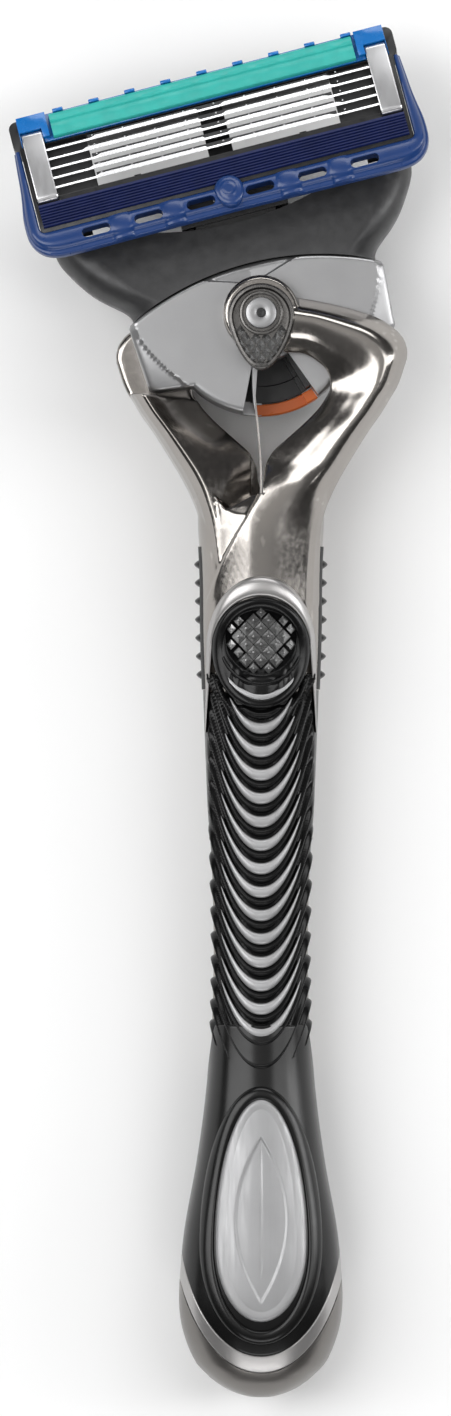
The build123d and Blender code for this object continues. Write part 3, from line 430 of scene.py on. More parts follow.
def neck_rings():
    """The neck. Its upper edge runs up beside the left arm in front and beside the right arm behind."""
    rings = [[form_point(y, angle) for angle in turn(FORM_AROUND)] for y in np.linspace(-20.4, -43.0, 47)]
    lifted = []
    for ring, share in zip(rings, (1.0, 0.6, 0.3)):
        moved = []
        for x, y, z in ring:
            side = -x if z > MID_Z else x
            lift = 1.25 * max(0.0, side - 3.2) + 1.2 * max(0.0, -side - 0.4) * (1 if side > -3 else 0.9)
            moved.append([x, y + share * lift, z])
        lifted.append(moved)
    for ring in rings[3:]:
        if ring[0][1] < RUBBER_TOP_Y:
            # Under the rubber only the back half is metal.
            ring = [(x * 0.8, y, 8 + (z - 8) * 0.72) if z > 8 else (x, y, z) for x, y, z in ring]
        lifted.append(ring)
    return lifted


def build_yoke():
    """The frame: closed tubes that overlap, melted into one surface."""
    verts, faces = [], []

    def tube(rings):
        faces.extend(tube_faces(len(rings), len(rings[0]), len(verts)))
        verts.extend(sum(rings, []))

    fine = [tuple(p) for p in catmull(ARM, 5)]
    arm = []
    for before, after in zip(fine, fine[1:]):
        arm.append(arm_ring(*before))
        if before[1] > NOTCH_Y >= after[1]:
            share = (NOTCH_Y - before[1]) / (after[1] - before[1])
            at = [a + (b - a) * share for a, b in zip(before, after)]
            arm.append(arm_ring(at[0], NOTCH_Y + 0.01, *at[2:]))
            arm.append(arm_ring(at[0], NOTCH_Y - 0.01, *at[2:]))
    arm.append(arm_ring(*fine[-1]))
    hub = [disc_ring(3.7, 14.3), disc_ring(3.9, 14.5), disc_ring(3.9, 16.7), disc_ring(3.6, 17.1)]
    for rings in (arm, hub):
        tube(rings)
        tube([[half_turn(p) for p in ring] for ring in rings])
    tube(neck_rings())
    tube(lower_tang())
    obj = make_object("yoke", verts, faces, "gunmetal_chrome")
    modify(obj, "REMESH", mode="VOXEL", voxel_size=VOXEL * MM, use_smooth_shade=True)
    modify(obj, "SMOOTH", factor=0.5, iterations=4)
    apply_modifiers(obj)
    slot = [(x, y, z) for x in (-1.0, 0.22) for y in (-18.3, -13.0) for z in (6.6, 17.0)]
    sides = [(0, 1, 3, 2), (4, 6, 7, 5), (0, 4, 5, 1), (2, 3, 7, 6), (0, 2, 6, 4), (1, 5, 7, 3)]
    cut_away(obj, [make_object("slot_cutter", slot, sides, "gunmetal_chrome")])
    modify(obj, "DECIMATE", ratio=KEPT_FACES)
    apply_modifiers(obj)
    obj.data.polygons.foreach_set("use_smooth", [True] * len(obj.data.polygons))
    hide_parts("handle_frame")


def lower_tang():
    """The frame's back half below the neck, sunk in front under the rubber and the base."""
    rings = []
    for y in np.linspace(-40.5, -77.0, 60):
        ring = []
        for angle in turn(FORM_AROUND):
            front = smoothstep(-0.25, -0.05, sin(angle))
            ring.append(form_point(y, angle, 0.02 + 1.2 * front))
        rings.append(ring)
    return rings


def camera():
    """Straight above the front, far enough away for the razor to look almost flat."""
    data = bpy.data.cameras.new("camera")
    data.sensor_fit = "VERTICAL"
    data.sensor_height = 36.0
    data.lens = data.sensor_height * CAMERA_DISTANCE / (SEEN_HEIGHT * MM)
    data.clip_end = 10.0
    obj = link("camera", data)
    obj.location = (CAMERA_X * MM, CAMERA_Y * MM, CAMERA_FOCUS_Z * MM + CAMERA_DISTANCE)
    bpy.context.scene.camera = obj


# ---------- plates that follow the handle's front
PLATE_AROUND = 144
CRESCENT_STEPS = 140
# Half eggs, as egg_point takes them: top, widest line, bottom, half width.
PAD = (-28.8, -34.0, -40.2, 5.05)
STUD_FIELD = (-30.15, -32.9, -36.6, 3.62)
BEZEL = (-78.7, -95.0, -105.1, 6.3)
BADGE = (-80.0, -95.0, -102.7, 4.65)


def egg_point(angle, top, centre, bottom, half):
    """A point of two half ellipses that share their widest line at y = centre."""
    rise = (top - centre) if sin(angle) > 0 else (centre - bottom)
    return half * cos(angle), centre + rise * sin(angle)


def front_plate(name, egg, profile, finish, hole=False, relief=lambda x, y: 0.0):
    """A plate on the handle's front.

    profile gives (inset from the egg, rise above the form) from the skirt inwards.
    """
    top, centre, bottom, half = egg
    verts = []
    for inset, rise in profile:
        for angle in turn(PLATE_AROUND):
            x, y = egg_point(angle, top - inset, centre, bottom + inset, half - inset)
            verts.append((x, y, front_z(x, y) + rise + relief(x, y)))
    faces = ring_faces(len(profile), PLATE_AROUND)
    if not hole:
        faces += fan(len(verts) - PLATE_AROUND, PLATE_AROUND)
        verts.append((0, centre, front_z(0, centre) + profile[-1][1] + relief(0, centre)))
    return make_object(name, verts, faces, finish)


def inner_steps(egg, start, rise, count):
    """Rings from an inset nearly to the middle, all at one rise."""
    reach = egg[3] - start
    return [(start + reach * (k / (count + 1)) * 0.98, rise) for k in range(1, count + 1)]


def pyramids(name, places, half_x, half_y, height, finish, surface):
    """Small four-sided studs with a blunted top, at places, standing on surface(x, y)."""
    verts, faces = [], []
    for x, y, share in places:
        faces += ring_faces(4, 4, len(verts))
        for size, up in ((1.0, -0.12), (0.93, 0.0), (0.2, 0.9), (0.0, 1.0)):
            for dx, dy in ((1, 0), (0, 1), (-1, 0), (0, -1)):
                px, py = x + dx * size * share * half_x, y + dy * size * share * half_y
                verts.append((px, py, surface(px, py) + height * share * up))
    make_object(name, verts, faces, finish, smooth=False, look="stud_grey")


def crescent(name, outer, inner, profile, finish):
    """A band on the handle's front between two lines, each a function of a share 0 to 1.

    profile gives (share of the way inwards, rise above the form).
    """
    verts = []
    for k in range(CRESCENT_STEPS + 1):
        outside, inside = outer(k / CRESCENT_STEPS), inner(k / CRESCENT_STEPS)
        for share, rise in profile:
            x, y = [a + (b - a) * share for a, b in zip(outside, inside)]
            verts.append((x, y, front_z(x, y) + rise))
    return make_object(name, verts, grid_faces(CRESCENT_STEPS + 1, len(profile)), finish)


def arch(share, top, centre, half, foot):
    """A point of a half egg on two straight legs, from the left foot over the top to the right foot."""
    leg = min(share, 1 - share) / 0.25
    if leg < 1:
        side = 1 if share > 0.5 else -1
        return side * (foot[0] + (half - foot[0]) * leg), foot[1] + (centre - foot[1]) * leg
    angle = pi * (1 - (share - 0.25) / 0.5)
    return half * cos(angle), centre + (top - centre) * sin(angle)


def lower_arc(share, egg, reach):
    """A point of an egg's lower side, over reach degrees either way of its lowest point."""
    return egg_point(radians(270 + reach * (2 * share - 1)), *egg)


def build_thumb():
    profile = [
        (0, -1.5), (0, 0.25), (0.06, 0.5), (0.16, 0.66), (0.35, 0.76),
        (0.6, 0.8), (0.85, 0.76), (0.96, 0.64), (1.0, 0.4), (1.0, -1.0),
    ]
    outer = lambda share: arch(share, -26.65, -34.0, 5.6, (5.72, -42.6))
    inner = lambda share: arch(share, -28.75, -34.0, 5.0, (5.66, -42.6))
    collar = crescent("collar", outer, inner, profile, "light_trim")
    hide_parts("thumb_collar")

    # Rings as (inset from the pad's edge, rise, share of the way on to the field of studs).
    rings = [(0.0, -1.5, 0), (0.0, 0.5, 0), (0.08, 0.72, 0), (0.25, 0.85, 0), (0.5, 0.86, 0), (0.85, 0.74, 0)]
    rings += [(1.05, 0.6, 0), (1.05, 0.5, 0.35), (1.05, 0.46, 0.7), (1.05, 0.5, 0.86)]
    rings += [(1.05, 0.62, 0.93), (1.05, 0.62, 0.97), (1.05, 0.3, 1.0)]
    top, centre, bottom, half = PAD
    verts = []
    for inset, rise, share in rings:
        for angle in turn(PLATE_AROUND):
            a = egg_point(angle, top - inset, centre, bottom + inset, half - inset)
            b = egg_point(angle, *STUD_FIELD)
            x, y = [p + (q - p) * share for p, q in zip(a, b)]
            groove = 0.16 * sin(6.5 * (y - STUD_FIELD[2])) if 0 < share < 0.9 and y < -36.2 else 0.0
            verts.append((x, y, front_z(x, y) + rise + groove))
    faces = ring_faces(len(rings), PLATE_AROUND)
    faces += fan(len(verts) - PLATE_AROUND, PLATE_AROUND)
    verts.append((0, STUD_FIELD[1], front_z(0, STUD_FIELD[1]) + 0.3))
    pad = make_object("pad", verts, faces, "black_rubber")
    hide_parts("thumb_pad")
    places = []
    pitch, row_pitch = 1.53, 0.81
    for row in range(-1, 9):
        y = -30.4 - row_pitch * row
        for k in range(-4, 5):
            x = pitch * k + (pitch / 2 if row % 2 else 0.0)
            up = y - STUD_FIELD[1]
            across = hypot(x / 3.4, up / (2.75 if up > 0 else 3.6))
            if across < 1.0:
                places.append((x, y, 1.0 if across < 0.8 else 0.72))
    pyramids("pad_studs", places, 0.73, 0.77, 0.36, "black_rubber", lambda x, y: front_z(x, y) + 0.45)

    # Below the studs, two shallow ridges echo the pad's edge.
    ridge = [(0, 0.4), (0.2, 0.62), (0.5, 0.74), (0.8, 0.66), (1.0, 0.44)]
    for name, outside, inside, finish in (
        ("pad_ridge_1", (-30.6, -33.0, -38.0, 4.5), (-31.0, -33.0, -37.4, 4.1), "black_rubber"),
        ("pad_ridge_2", (-30.6, -33.2, -39.5, 4.85), (-31.0, -33.2, -38.6, 4.5), "satin_silver"),
    ):
        crescent(name, lambda t: lower_arc(t, outside, 66), lambda t: lower_arc(t, inside, 66), ridge, finish)


def build_side_grips():
    """Dark strips along the neck's sides, each with seven pointed studs."""
    for side, node in ((1, "side_grip_right"), (-1, "side_grip_left")):
        verts = []
        rows = np.linspace(-23.6, -38.2, 60)
        for y in rows:
            half, back, front = form_at(y)
            for k in range(9):
                t = (k - 4) / 4
                out = 0.12 * (1 - t * t) ** 0.5 - 0.3 * (abs(t) == 1)
                verts.append((side * (half + out), y, (back + front) / 2 + 2.2 * t))
        faces = grid_faces(len(rows), 9)
        if side > 0:
            faces = [(a, d, c, b) for a, b, c, d in faces]
        for y in np.linspace(-25.4, -36.68, 7):
            half, back, front = form_at(y)
            faces += ring_faces(5, 12, len(verts))
            for size, out in ((1.0, -0.1), (0.86, 0.14), (0.5, 0.42), (0.22, 0.56), (0.06, 0.6)):
                for angle in turn(12):
                    z = (back + front) / 2 + 1.5 * size * sin(angle)
                    verts.append((side * (half + out), y + 0.52 * size * cos(angle), z))
            faces.append(range(len(verts) - 12, len(verts)))
        strip = make_object(f"{node}_studs", verts, faces, "black_rubber")
        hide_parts(node)


# ---------- the grip
BAND_PITCH = 2.39
BAND_FIRST = -42.7
BAND_COUNT = 14


def u_rise(x):
    return 0.242 * abs(x) ** 2.2


def smoothstep(low, high, value):
    share = min(1.0, max(0.0, (value - low) / (high - low)))
    return share * share * (3 - 2 * share)


def grip_height(x, y):
    """How far the rubber stands out from the form: U ribs in pairs, which run out to the sides."""
    phase = (BAND_FIRST - 0.06 - (y - u_rise(x))) / BAND_PITCH
    across = phase - np.floor(phase)
    inside = 1 - smoothstep(5.0, 5.5, abs(x))
    top = -39.8 + 3.5 * smoothstep(2.6, 4.9, abs(x)) if abs(x) < 5.5 else -38.0
    low = -77.4 + 0.12 * x * x
    ends = smoothstep(low, low + 0.3, y) * (1 - smoothstep(top - 0.3, top, y))
    rib = 0.0
    if across < 0.4:
        rib = 0.62 * sin(pi * across / 0.4) ** 0.8
    elif 0.43 < across < 0.57:
        rib = 0.34 * sin(pi * (across - 0.43) / 0.14) ** 0.8
    lift = 0.55 * smoothstep(-42.0, -40.6, y - 0.4 * u_rise(x))
    return (rib - 0.5 + lift) * inside * ends - 0.7 * (1 - ends)


def build_grip():
    rows = np.linspace(-35.6, -78.2, 427)
    around = 132
    verts = []
    start_angle = radians(-14)
    for y in rows:
        for k in range(around + 1):
            angle = start_angle + (pi - 2 * start_angle) * k / around
            if k in (0, around):
                x, _, z = form_point(y, angle, 1.2)
            else:
                x, _, z = form_point(y, angle)
                out = grip_height(x, y)
                half, back, front = form_at(y)
                middle = (back + front) / 2
                away = Vector((x / half**2, (z - middle) / ((front - back) / 2) ** 2)).normalized()
                x, z = x + away[0] * out, z + away[1] * out
            verts.append((x, y, z))
    rubber = make_object("grip_ribs", verts, grid_faces(len(rows), around + 1), "black_rubber")
    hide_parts("grip_rubber")


def build_bands():
    verts, faces = [], []
    across = ((0.0, -0.5), (0.0, -0.12), (0.12, 0.02), (0.35, 0.09))
    across += tuple((1 - share, up) for share, up in reversed(across))
    steps = 56
    for k in range(BAND_COUNT):
        bottom = BAND_FIRST - BAND_PITCH * k
        reach = min(3.2 + 0.25 * k, 4.1)
        faces += grid_faces(steps + 1, len(across), len(verts))
        for i in range(steps + 1):
            x = -reach + 2 * reach * i / steps
            width = 1.12 * (1 - (abs(x) / reach) ** 3.2) ** 0.55 + 0.02
            middle = bottom + 0.53 + u_rise(x)
            for share, up in across:
                y = middle + width * (share - 0.5)
                verts.append((x, y, front_z(x, y) + up * min(1.0, width / 0.5 + 0.2) - 0.04))
    bands = make_object("grip_bands", verts, faces, "satin_silver")
    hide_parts("grip_insert")


# ---------- the base
BASE_MIDDLE_Y = -91.0


def build_badge():
    rim = [(0, -2.0), (0, 0.1), (0.15, 0.3), (0.45, 0.4), (0.9, 0.4), (1.25, 0.28), (1.45, 0.1), (1.52, -0.6)]
    bezel = front_plate("bezel", BEZEL, rim, "black_gloss", hole=True)
    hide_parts("badge_bezel")

    # A shallow lens-shaped field where the badge would carry a name.
    lens = lambda x, y: 2.75 * (1 - ((y + 92.3) / 8.6) ** 2) - abs(x)
    recess = lambda x, y: -0.15 * smoothstep(0.0, 0.3, lens(x, y))

    face = [(0, -1.4), (0, 0.12), (0.1, 0.26), (0.28, 0.33), (0.5, 0.33), (0.95, 0.24), (1.05, 0.22)]
    face += [(1.15, 0.23), *inner_steps(BADGE, 1.15, 0.23, 30)]
    badge = front_plate("badge", BADGE, face, "badge_silver", relief=recess)
    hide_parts("badge_plate")


def base_edge(angle, reach, drop):
    """Where the half ellipse of that reach and drop about BASE_MIDDLE_Y crosses the skin at an angle."""
    low, high = -110.8, BASE_MIDDLE_Y
    for _ in range(24):
        y = (low + high) / 2
        x = form_point(y, angle)[0]
        edge = BASE_MIDDLE_Y - drop * sqrt(max(0.0, 1 - (x / reach) ** 2))
        low, high = (y, high) if y < edge else (low, y)
    return (low + high) / 2


def sleeve_start(angle):
    """The sleeve reaches up under the rubber at the front."""
    return -76.9 + 4.4 * smoothstep(0.0, 0.5, sin(angle))


def base_shell(name, starts, ends, finish, count, sinks=((0.0, 0.9), (0.0, 0.07), (0.1, 0.0))):
    """A skin of the base between two edges, given as a y for each direction, with its rims turned in."""
    around = len(starts)

    def ring(edge, distance, sink):
        return [form_point(y + distance, angle, sink) for y, angle in zip(edge, turn(around))]

    rings = [ring(starts, -distance, sink) for distance, sink in sinks]
    for n in range(1, count):
        rings.append(ring([a + (b - a) * (n / count) for a, b in zip(starts, ends)], 0.0, 0.0))
    rings += [ring(ends, distance, sink) for distance, sink in reversed(sinks)]
    verts = [(x, y, max(z, 0.0)) for points in rings for x, y, z in points]
    return make_object(name, verts, ring_faces(len(rings), around), finish)


def build_base():
    angles = turn(160)
    sleeve_end = [base_edge(a, 8.6, 15.3) for a in angles]
    trim_end = [base_edge(a, 9.3, 17.05) for a in angles]
    sleeve = base_shell("sleeve", [sleeve_start(a) for a in angles], sleeve_end, "black_gloss", 120)
    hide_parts("base_sleeve")
    trim = base_shell("trim", sleeve_end, trim_end, "light_trim", 12)
    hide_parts("end_trim")
    cap_sinks = ((0.0, 0.9), (0.0, 0.1), (0.12, 0.0))
    cap = base_shell("cap", trim_end, [-110.87] * len(angles), "gunmetal_cap", 90, cap_sinks)
    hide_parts("end_cap")


# ---------- the front pivot cap
CAP_Y = -0.4


def teardrop(angle, inset=0.0):
    """A round head about CAP_Y drawn out to a point at y = -5.8; angle runs from the right."""
    radius = 3.42 - inset
    s = sin(angle)
    c = cos(angle)
    if s >= 0:
        return radius * c, CAP_Y + radius * s
    depth = 5.4 - 1.15 * inset
    return radius * c * (1 - 0.12 * s * s), CAP_Y + depth * s * abs(s) ** 0.35


def lathe(name, profile, finish, look=None):
    """A (radius, z) profile turned about the swivel axis."""
    rings = [disc_ring(max(radius, 0.001), z, 64) for radius, z in profile]
    faces = ring_faces(len(rings), 64)
    return make_object(name, sum(rings, []), faces, finish, look=look, sharp=30)


def build_cap():
    around = 96
    dish = [
        (0.0, 16.9), (0.0, 17.7), (0.08, 17.95), (0.2, 18.08), (0.42, 18.1),
        (0.55, 17.9), (0.62, 17.62), (0.9, 17.6), (1.4, 17.62),
    ]
    verts = [(*teardrop(angle, inset), z) for inset, z in dish for angle in turn(around)]
    faces = ring_faces(len(dish), around)
    faces.append(range(len(verts) - around, len(verts)))
    cap = make_object("cap_dish", verts, faces, "dark_chrome", sharp=40)
    ring = ((2.25, 17.5), (2.25, 17.95), (2.15, 18.05), (2.0, 18.07), (1.9, 17.95), (1.86, 17.5))
    lathe("cap_ring", ring, "dark_chrome")
    head = (
        (1.62, 17.3), (1.6, 17.9), (1.53, 18.02), (1.45, 18.05),
        (0.55, 18.05), (0.48, 18.02), (0.42, 17.8), (0.0, 17.62),
    )
    pin = lathe("pin_head", head, "steel", look="pod_silver")
    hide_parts("front_pivot_pin")
    # The black disc over the pin head's dimple is painted shade in the hollow.
    dimple = ((0.46, 17.9), (0.46, 18.07), (0.4, 18.09), (0.2, 18.05), (0.0, 18.03))
    lathe("pin_dimple_painted_shade", dimple, "steel", look="black_plastic")
    places = []
    for row in range(-2, 8):
        y = CAP_Y - 0.72 * row
        for k in range(-4, 5):
            x = 1.05 * (k + 0.5 * (row % 2))
            edge_x, edge_y = teardrop(atan2((y - CAP_Y) * (0.66 if y < CAP_Y else 1), x), 0.7)
            if y > -1:
                fits = hypot(x, y - CAP_Y) <= hypot(edge_x, edge_y - CAP_Y) - 0.15
            else:
                fits = abs(x) < 2.5 * sqrt(max(0.0, 1 - ((-y - 1) / 4.4) ** 2))
            if fits and y > -5.35 and hypot(x, y) > 2.5:
                places.append((x, y, 1.0))
    pyramids("cap_studs", places, 0.48, 0.66, 0.34, "dark_chrome", lambda x, y: 17.66)
    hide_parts("front_pivot_cap")


# ---------- the pod's silver shells and grey hood
SEAM_CENTRE_Y, SEAM_RADIUS = -24.85, 30.15
SHELL_RIM = 10.1
SHELL_HOLE = 2.35
WINDOW_REACH = 4.8


def shell_radius_table():
    """Angle and distance of the shells' outline about the swivel axis, from straight down and once round."""
    right = [(SHELL_RIM * sin(radians(a)), -SHELL_RIM * cos(radians(a))) for a in np.linspace(0, 58, 60)]
    corners = ((12.3, -4.85), (12.75, -4.7), (13.0, -4.35), (13.2, -1.0), (13.4, 1.8), (13.3, 2.05))
    for (ax, ay), (bx, by) in zip((right[-1], *corners), corners):
        right += [(ax + (bx - ax) * k / 12, ay + (by - ay) * k / 12) for k in range(1, 13)]
    right += [(x, SEAM_CENTRE_Y + sqrt(SEAM_RADIUS**2 - x * x)) for x in np.linspace(13.2, 0, 80)]
    outline = right + [(-x, y) for x, y in reversed(right[:-1])]
    angles = np.unwrap([atan2(x, -y) for x, y in outline])
    return angles, [hypot(x, y) for x, y in outline]


def shell_height(x, y):
    """Height of the shells' front: a star of scooped facets at the corners and a V crease by the hood."""
    z = 13.9
    ax = abs(x)
    # Facet between (11.1, -0.3), the corner and (8.0, -5.6).
    out = ((ax - 11.1) * 5.3 + (-0.3 - y) * 3.1) / 6.14
    along = ((ax - 9.55) * -3.1 + (y + 2.95) * 5.3) / 6.14 / 3.07
    out -= 1.0 * max(0.0, 1 - along * along)
    if out > 0:
        z -= 0.28 * min(1.0, out / 0.16) + 0.2 * out
    fold = (y - 3.2 - 0.32 * ax) * 0.95
    if fold > 0 and ax < 6.5:
        z -= (0.18 * min(1.0, fold / 0.15) + 0.12 * fold) * (1 - smoothstep(4.6, 6.2, ax))
    return z


def build_shell():
    """The shells' face, with the window for the leaf spring cut back to WINDOW_REACH."""
    angles, radii = shell_radius_table()
    window = (2 * pi - radians(25), radians(21))
    slant = radians(-18.3) + 2 * pi
    directions = list(np.linspace(0, 2 * pi, 600, endpoint=False))
    directions += [window[0], slant - 0.0005, slant + 0.0005, window[1] - 0.0005, window[1] + 0.0005]
    directions.sort()
    edge = ((0.35, 0.03), (0.18, 0.1), (0.06, 0.22), (0.0, 0.42))
    edge_width = 0.6
    shares = np.linspace(0, 1, 52)
    verts = []
    for angle in directions:
        reach = float(np.interp(angle, angles, radii))
        if angle > window[0] or angle < window[1]:
            reach = WINDOW_REACH
            if pi < angle < slant:
                share = (angle - window[0]) / (slant - window[0])
                reach = WINDOW_REACH + (SHELL_RIM - WINDOW_REACH) * share
        for share in shares:
            r = SHELL_HOLE + (reach - edge_width - SHELL_HOLE) * share
            x, y = r * sin(angle), -r * cos(angle)
            verts.append((x, y, shell_height(x, y)))
        for inset, drop in edge:
            r = reach - inset
            x, y = r * sin(angle), -r * cos(angle)
            verts.append((x, y, shell_height(x, y) - drop))
        x, y = reach * sin(angle), -reach * cos(angle)
        for z in (12.6, 11.0, 9.0):
            verts.append((x, y, z))
    size = len(shares) + len(edge) + 3
    faces = ring_faces(len(directions), size)
    faces = [f for k, f in enumerate(faces) if k % size != size - 1]
    last = (len(directions) - 1) * size
    faces += [(last + k, last + k + 1, k + 1, k) for k in range(size - 1)]
    shell = make_object("shell_face", verts, faces, "pod_silver", "pod", sharp=24)
    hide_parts("pod_shell_front")


def arc_block(name, profile, start, end, finish):
    """A closed profile of (radius, z) turned about the swivel axis, between angles from straight down."""
    angles = [radians(a) for a in np.linspace(start, end, 48)]
    verts = [(r * sin(a), -r * cos(a), z) for a in angles for r, z in profile]
    return make_object(name, verts, tube_faces(len(angles), len(profile)), finish, "pod", sharp=30)


def build_window():
    """The black floor and the orange stop behind the leaf spring, and the higher pieces at their right; the
    black floor is painted shade, laid over the silver floor that lies deep in shadow.
    """
    for tail, start, end, top in (("", -17.5, 13.7, 7.25), ("_end", 13.5, 20.6, 9.12)):
        stop = [
            (8.95, 4.8), (10.02, 4.8), (10.14, 4.95), (10.14, top - 0.16),
            (10.0, top), (9.05, top), (8.95, top - 0.1),
        ]
        # Black plastic just above the pod's silver floor: painted shade where that floor lies deep in shadow.
        floor = [
            (4.6, 6.4), (8.7, 6.4), (8.86, top - 0.1), (8.8, top),
            (7.15, top), (7.1, top - 0.1), (7.05, top), (4.6, top),
        ]
        stop = arc_block("stop" + tail, stop, start, end, "orange")
        floor = arc_block("window_floor_painted_shade" + tail, floor, start - 4 * (start < 0), end, "black_plastic")
        if not tail:
            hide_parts("pod_bumper")
            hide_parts("pod_fin")


# ---------- the cartridge
def sweep_x(name, profile, xs, finish, body="cartridge", look=None):
    """A closed (v, w) profile, a function of x, swept along the cartridge."""
    rings = [[(x, v, w) for v, w in profile(x)] for x in xs]
    faces = tube_faces(len(rings), len(rings[0]))
    return make_object(name, sum(rings, []), faces, finish, body, look, sharp=30)


# Round the guard's corner: outer edge x, v; inner edge x, v. The sides run straight after the last bend.
GUARD_CORNER = (
    (16.0, -4.3, 16.0, -1.6), (18.0, -4.25, 17.9, -1.6), (19.4, -3.9, 18.9, -1.6),
    (20.4, -3.1, 19.4, -1.52), (20.95, -2.0, 19.62, -1.25), (21.08, -0.8, 19.67, -0.7),
    *((x, v, 19.67, v) for x, v in ((21.02, 0.6), (20.8, 2.0), (20.6, 3.5), (20.45, 5.5), (20.3, 7.4))),
)
# The guard's section: share of the way inwards, w.
GUARD_PROFILE = (
    (0.0, 1.9), (0.0, 2.45), (0.02, 2.62), (0.07, 2.74), (0.14, 2.78), (0.2, 2.84), (0.25, 3.0), (0.31, 3.24),
    (0.4, 3.36), (0.55, 3.4), (0.8, 3.38), (0.92, 3.3), (0.98, 3.15), (1.0, 2.95), (1.0, 1.9),
)
SIDE_BRIDGES = (-8.6, 8.8)  # of the housing, behind the blades
GUARD_SLOTS = (-14.1, -8.6, -3.1, 3.1, 8.6, 14.1)
# A clip's strap in (v, w), from under the cartridge over the cap and the guard and back under.
CLIP_PATH = (
    (7.1, -1.05), (8.7, -1.05), (9.02, -0.98), (9.1, -0.7), (9.1, 0.6), (9.1, 2.0), (9.1, 3.1), (9.04, 3.42),
    (8.8, 3.62), (8.2, 3.66), (5.3, 3.74), (2.4, 3.66), (1.8, 3.56), (1.56, 3.38), (1.5, 3.1), (1.5, 2.0),
    (1.5, 0.6), (1.5, -1.05),
)


def build_guard():
    right = [(x, -4.15 - 0.15 * x / 16, x, -1.6) for x in np.arange(0, 16, 0.16)] + catmull(GUARD_CORNER, 6)
    path = [(-ox, ov, -ix, iv) for ox, ov, ix, iv in reversed(right[1:])] + right
    verts = []
    for ox, ov, ix, iv in path:
        bulge = 0.0
        if ov < -4 and abs(ox) < 16:
            for rib in (6.05, 11.45):
                bulge += 0.34 * max(0.0, 1 - ((abs(ox) - rib) / 1.05) ** 2) ** 0.5
        for share, w in GUARD_PROFILE:
            up = bulge * smoothstep(2.3, 2.8, w) * (1 - 0.6 * smoothstep(2.9, 3.4, w))
            verts.append((ox + (ix - ox) * share, ov + (iv - ov) * share, w + up))
    faces = tube_faces(len(path), len(GUARD_PROFILE))
    guard = make_object("guard", verts, faces, "guard_blue", "cartridge")
    verts, faces = [], []
    for x in GUARD_SLOTS:
        faces += tube_faces(2, 32, len(verts))
        for w in (1.0, 5.0):
            for angle in turn(32):
                side = 1 if cos(angle) > 0 else -1
                verts.append((x + side * 1.0 + 0.5 * cos(angle), -2.75 + 0.5 * sin(angle), w))
    cut_away(guard, [make_object("slots", verts, faces, "guard_blue", "cartridge")])
    smooth_by_angle(guard, 32)
    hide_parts("guard_frame")

    # The tab over the bar's middle, with a raised ring.
    verts = []
    rings = (
        (0.0, 2.5), (0.0, 3.3), (0.06, 3.5), (0.2, 3.64), (0.45, 3.7),
        (0.66, 3.71), (0.72, 3.77), (0.82, 3.77), (0.88, 3.72), (1.2, 3.73),
    )
    for inset, w in rings:
        for angle in turn(64):
            radius = 1.5 - inset
            v = radius * sin(angle)
            stretch = 1.25 if v < 0 and inset < 0.6 else 1.0
            verts.append((radius * cos(angle), -2.1 + v * stretch, w))
    faces = ring_faces(len(rings), 64)
    faces.append(range(len(verts) - 64, len(verts)))
    make_object("guard_tab", verts, faces, "guard_blue", "cartridge", sharp=50)


def build_fins():
    line = [(-1.15, 2.9), (-1.15, 3.14)]
    for k in range(8):
        v = -1.05 + 0.3 * k
        line += [(v - 0.1, 3.14), (v - 0.07, 3.34), (v - 0.03, 3.42)]
        line += [(v + 0.03, 3.42), (v + 0.07, 3.34), (v + 0.1, 3.14)]
    line += [(1.35, 3.14), (1.35, 2.9)]
    fins = sweep_x("fins", lambda x: line, np.linspace(-19.2, 19.2, 60), "fin_blue")
    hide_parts("guard_fins")


def build_strip():
    line = [
        (7.94, 3.0), (7.94, 3.5), (8.04, 3.68), (8.3, 3.8), (8.8, 3.87), (9.3, 3.86), (9.42, 3.8),
        (9.5, 3.73), (9.58, 3.8), (9.7, 3.86), (10.05, 3.84), (10.35, 3.72), (10.5, 3.5), (10.52, 3.0),
    ]
    wavy = lambda x: [(v, w + 0.02 * sin(2.1 * x + v)) for v, w in line]
    strip = sweep_x("strip", wavy, np.linspace(-15.9, 15.9, 160), "strip_teal")
    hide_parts("lubricating_strip")


def build_clips():
    path = catmull(CLIP_PATH, 6)
    section = (
        (17.0, 0.05), (17.05, 0.01), (17.15, 0.0), (19.0, 0.0),
        (19.1, 0.01), (19.15, 0.05), (19.15, 0.22), (17.0, 0.22),
    )
    for side, node in ((1, "clip_right"), (-1, "clip_left")):
        verts = []
        for k, point in enumerate(path):
            along = path[min(k + 1, len(path) - 1)] - path[max(k - 1, 0)]
            normal = np.array((along[1], -along[0])) / hypot(*along)
            for x, depth in section:
                v, w = point - normal * depth
                verts.append((side * x, v, w))
        faces = tube_faces(len(path), len(section))
        band = make_object(f"{node}_band", verts, faces, "clip_metal", "cartridge", sharp=40)
        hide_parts(node)


BLADE_V, BLADE_PITCH = 2.97, 1.03


